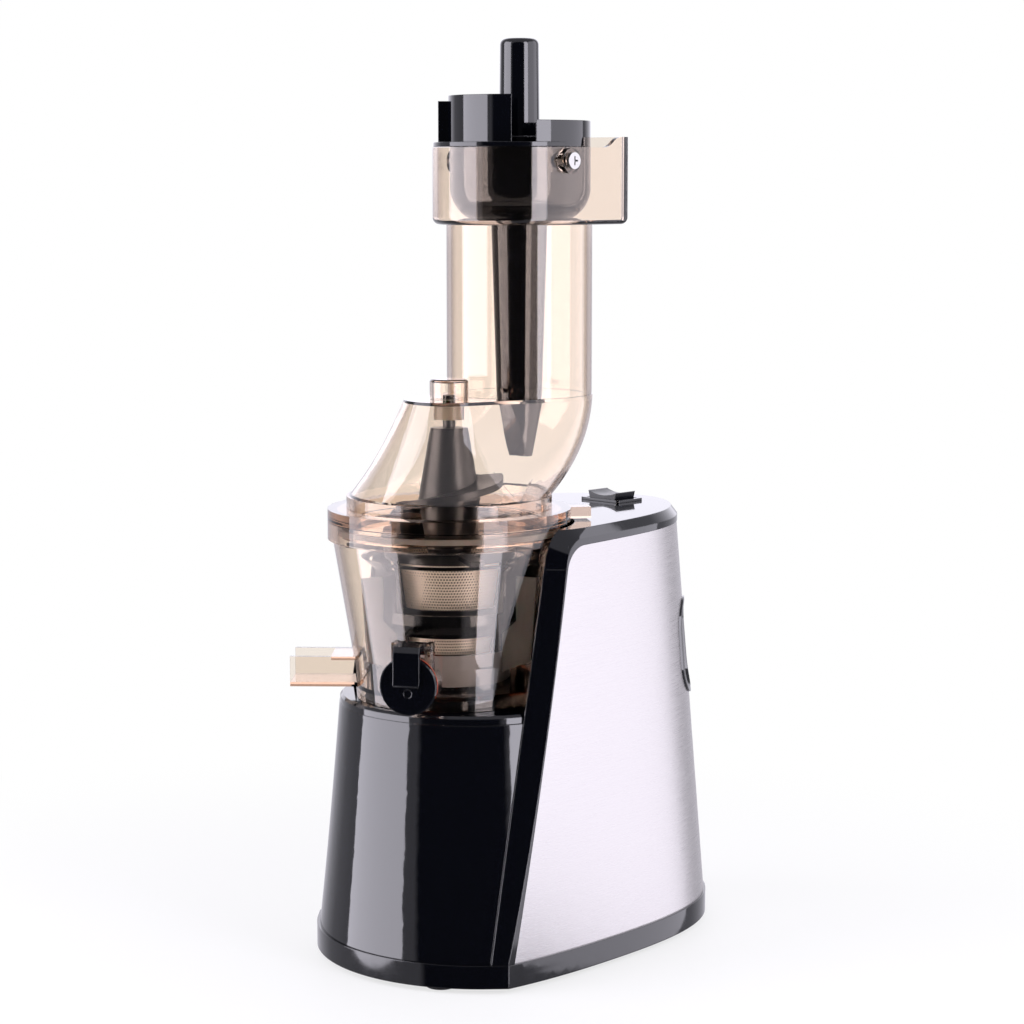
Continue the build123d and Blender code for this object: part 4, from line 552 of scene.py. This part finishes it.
# %% World
window_middle = -53.0        # degrees: the dark gap that the camera stands in
window_edge = 0.80           # cosine of half its width
window_blur = 0.02           # how softly that edge fades, in cosine
window_level = 0.02
sweep_middle = 136.0         # degrees: the bright sweep stands here
sweep_fade = (0.62, 0.90)    # cosines at which it starts and is full
sweep_levels = (0.8, 1.9)    # its strength below and above the horizon
horizon = (-0.03, 0.06)      # the heights between which that changes
wall_level = 0.42

world = bpy.data.worlds.new("studio")
bpy.context.scene.world = world
world.use_nodes = True
tree = world.node_tree
tree.nodes.clear()
ray = add_node(tree, "ShaderNodeTexCoord")


def compass(degrees):
    """A level direction at an angle from +X towards +Y."""
    return (math.cos(math.radians(degrees)), math.sin(math.radians(degrees)), 0.0)


def direction_share(degrees, low, high):
    """How near a ray is to a level direction, from 0 at low to 1 at high."""
    along = add_node(
        tree, "ShaderNodeVectorMath", operation="DOT_PRODUCT",
        inputs={1: compass(degrees)}, links={0: ray.outputs["Generated"]},
    )
    return add_node(
        tree, "ShaderNodeMapRange",
        inputs={"From Min": low, "From Max": high},
        links={"Value": along.outputs["Value"]},
    ).outputs["Result"]


window = direction_share(window_middle, window_edge - window_blur, window_edge + window_blur)
sweep = direction_share(sweep_middle, *sweep_fade)
height = add_node(tree, "ShaderNodeSeparateXYZ", links={0: ray.outputs["Generated"]})
backdrop = add_node(
    tree, "ShaderNodeMapRange",
    inputs={
        "From Min": horizon[0], "From Max": horizon[1],
        "To Min": sweep_levels[0], "To Max": sweep_levels[1],
    },
    links={"Value": height.outputs["Z"]},
)
walls = add_node(
    tree, "ShaderNodeMapRange",
    inputs={"To Min": wall_level},
    links={"Value": sweep, "To Max": backdrop.outputs["Result"]},
)
strength = add_node(
    tree, "ShaderNodeMapRange",
    inputs={"To Max": window_level},
    links={"Value": window, "To Min": walls.outputs["Result"]},
)
room = add_node(
    tree, "ShaderNodeBackground",
    inputs={"Color": paint("#F6F4FF")},
    links={"Strength": strength.outputs["Result"]},
)


def seen_straight(tree):
    """One for a ray from the camera, also through clear walls, before it is reflected."""
    rays = add_node(tree, "ShaderNodeLightPath")
    direct = add_node(
        tree, "ShaderNodeMath", operation="LESS_THAN",
        inputs={1: 0.5}, links={0: rays.outputs["Glossy Depth"]},
    )
    through = add_node(
        tree, "ShaderNodeMath", operation="MULTIPLY",
        links={0: rays.outputs["Is Transmission Ray"], 1: direct.outputs[0]},
    )
    return add_node(
        tree, "ShaderNodeMath", operation="MAXIMUM",
        links={0: rays.outputs["Is Camera Ray"], 1: through.outputs[0]},
    ).outputs[0]


white = add_node(tree, "ShaderNodeBackground", inputs={"Color": (1, 1, 1, 1), "Strength": 1.0})
mix = add_node(
    tree, "ShaderNodeMixShader",
    links={0: seen_straight(tree), 1: room.outputs[0], 2: white.outputs[0]},
)
add_node(tree, "ShaderNodeOutputWorld", links={"Surface": mix.outputs[0]})
print("world", world.name, "with the dark gap at", window_middle, "degrees")

# %% [markdown]
# ## White floor
# The juicer stands on a white surface that fades into the white behind it.
# A glow that only straight rays see lifts the floor to white, fully so away
# from the juicer and less under it, so its soft shadow stays. Reflections
# pass through the floor and show the studio instead.

# %% Floor
floor_size = 3.6             # metres
floor_middle = (-1.2, 1.2, 0)
glow_reach = (0.18, 0.55)    # metres from the drive axis, from part to full glow
glow_share = (0.72, 1.0)

bpy.ops.mesh.primitive_plane_add(size=1.0, location=floor_middle)
floor = bpy.context.object
floor.name = "floor"
floor.scale = (floor_size, floor_size, 1.0)
material, tree, shader = new_material("white studio floor")
shader.inputs["Base Color"].default_value = paint("#F4F4F4")
shader.inputs["Roughness"].default_value = 0.6
spot = add_node(tree, "ShaderNodeNewGeometry")
away = add_node(tree, "ShaderNodeVectorMath", operation="LENGTH", links={0: spot.outputs["Position"]})
fade = add_node(
    tree, "ShaderNodeMapRange", interpolation_type="SMOOTHSTEP",
    inputs={
        "From Min": glow_reach[0], "From Max": glow_reach[1],
        "To Min": glow_share[0], "To Max": glow_share[1],
    },
    links={"Value": away.outputs["Value"]},
)
share = add_node(
    tree, "ShaderNodeMath", operation="MULTIPLY",
    links={0: seen_straight(tree), 1: fade.outputs["Result"]},
)
glow = add_node(tree, "ShaderNodeEmission", inputs={"Color": (1, 1, 1, 1), "Strength": 1.0})
mix = add_node(
    tree, "ShaderNodeMixShader",
    links={0: share.outputs[0], 1: shader.outputs[0], 2: glow.outputs[0]},
)
rays = add_node(tree, "ShaderNodeLightPath")
gone = add_node(tree, "ShaderNodeBsdfTransparent")
pass_by = add_node(
    tree, "ShaderNodeMixShader",
    links={0: rays.outputs["Is Glossy Ray"], 1: mix.outputs[0], 2: gone.outputs[0]},
)
tree.links.new(pass_by.outputs[0], output_of(tree).inputs["Surface"])
floor.data.materials.append(material)
print("floor", floor_size, "m square")

# %% [markdown]
# ## Lamps
# Three tall softboxes stand close by. A narrow bright strip at the right
# draws the thin highlight on the black front, a broad dimmer panel beside it
# lights the steel evenly without burning it out, and a softbox at the left
# gives the other lavender band. An area lamp's power is its radiance times pi
# times its area, so a lamp can change size and keep its brightness.

# %% Lamps
lamp_distance = 0.75         # metres from the drive axis
lamp_low = -0.21             # metres: low enough to reach reflections in the base
lamp_high = 1.05
lavender = paint("#F4F1FD")


def softbox(name, degrees, width, radiance):
    """A standing softbox that faces the drive axis from one direction."""
    tall = lamp_high - lamp_low
    data = bpy.data.lights.new(name, "AREA")
    data.shape = "RECTANGLE"
    data.size = width
    data.size_y = tall
    data.energy = radiance * math.pi * width * tall
    data.color = lavender[:3]
    lamp = bpy.data.objects.new(name, data)
    bpy.context.scene.collection.objects.link(lamp)
    middle = (lamp_low + lamp_high) / 2
    spot = [lamp_distance * c for c in compass(degrees)]
    lamp.location = (spot[0], spot[1], middle)
    aim = Vector((0, 0, middle)) - lamp.location
    lamp.rotation_euler = aim.to_track_quat("-Z", "Y").to_euler()
    print("lamp", name, round(data.energy, 2), "W")


softbox("right strip", degrees=-2.0, width=0.30, radiance=5.0)
softbox("right panel", degrees=43.0, width=1.0, radiance=1.45)
softbox("left softbox", degrees=-123.0, width=0.72, radiance=3.9)
bpy.context.scene.view_settings.view_transform = "Standard"
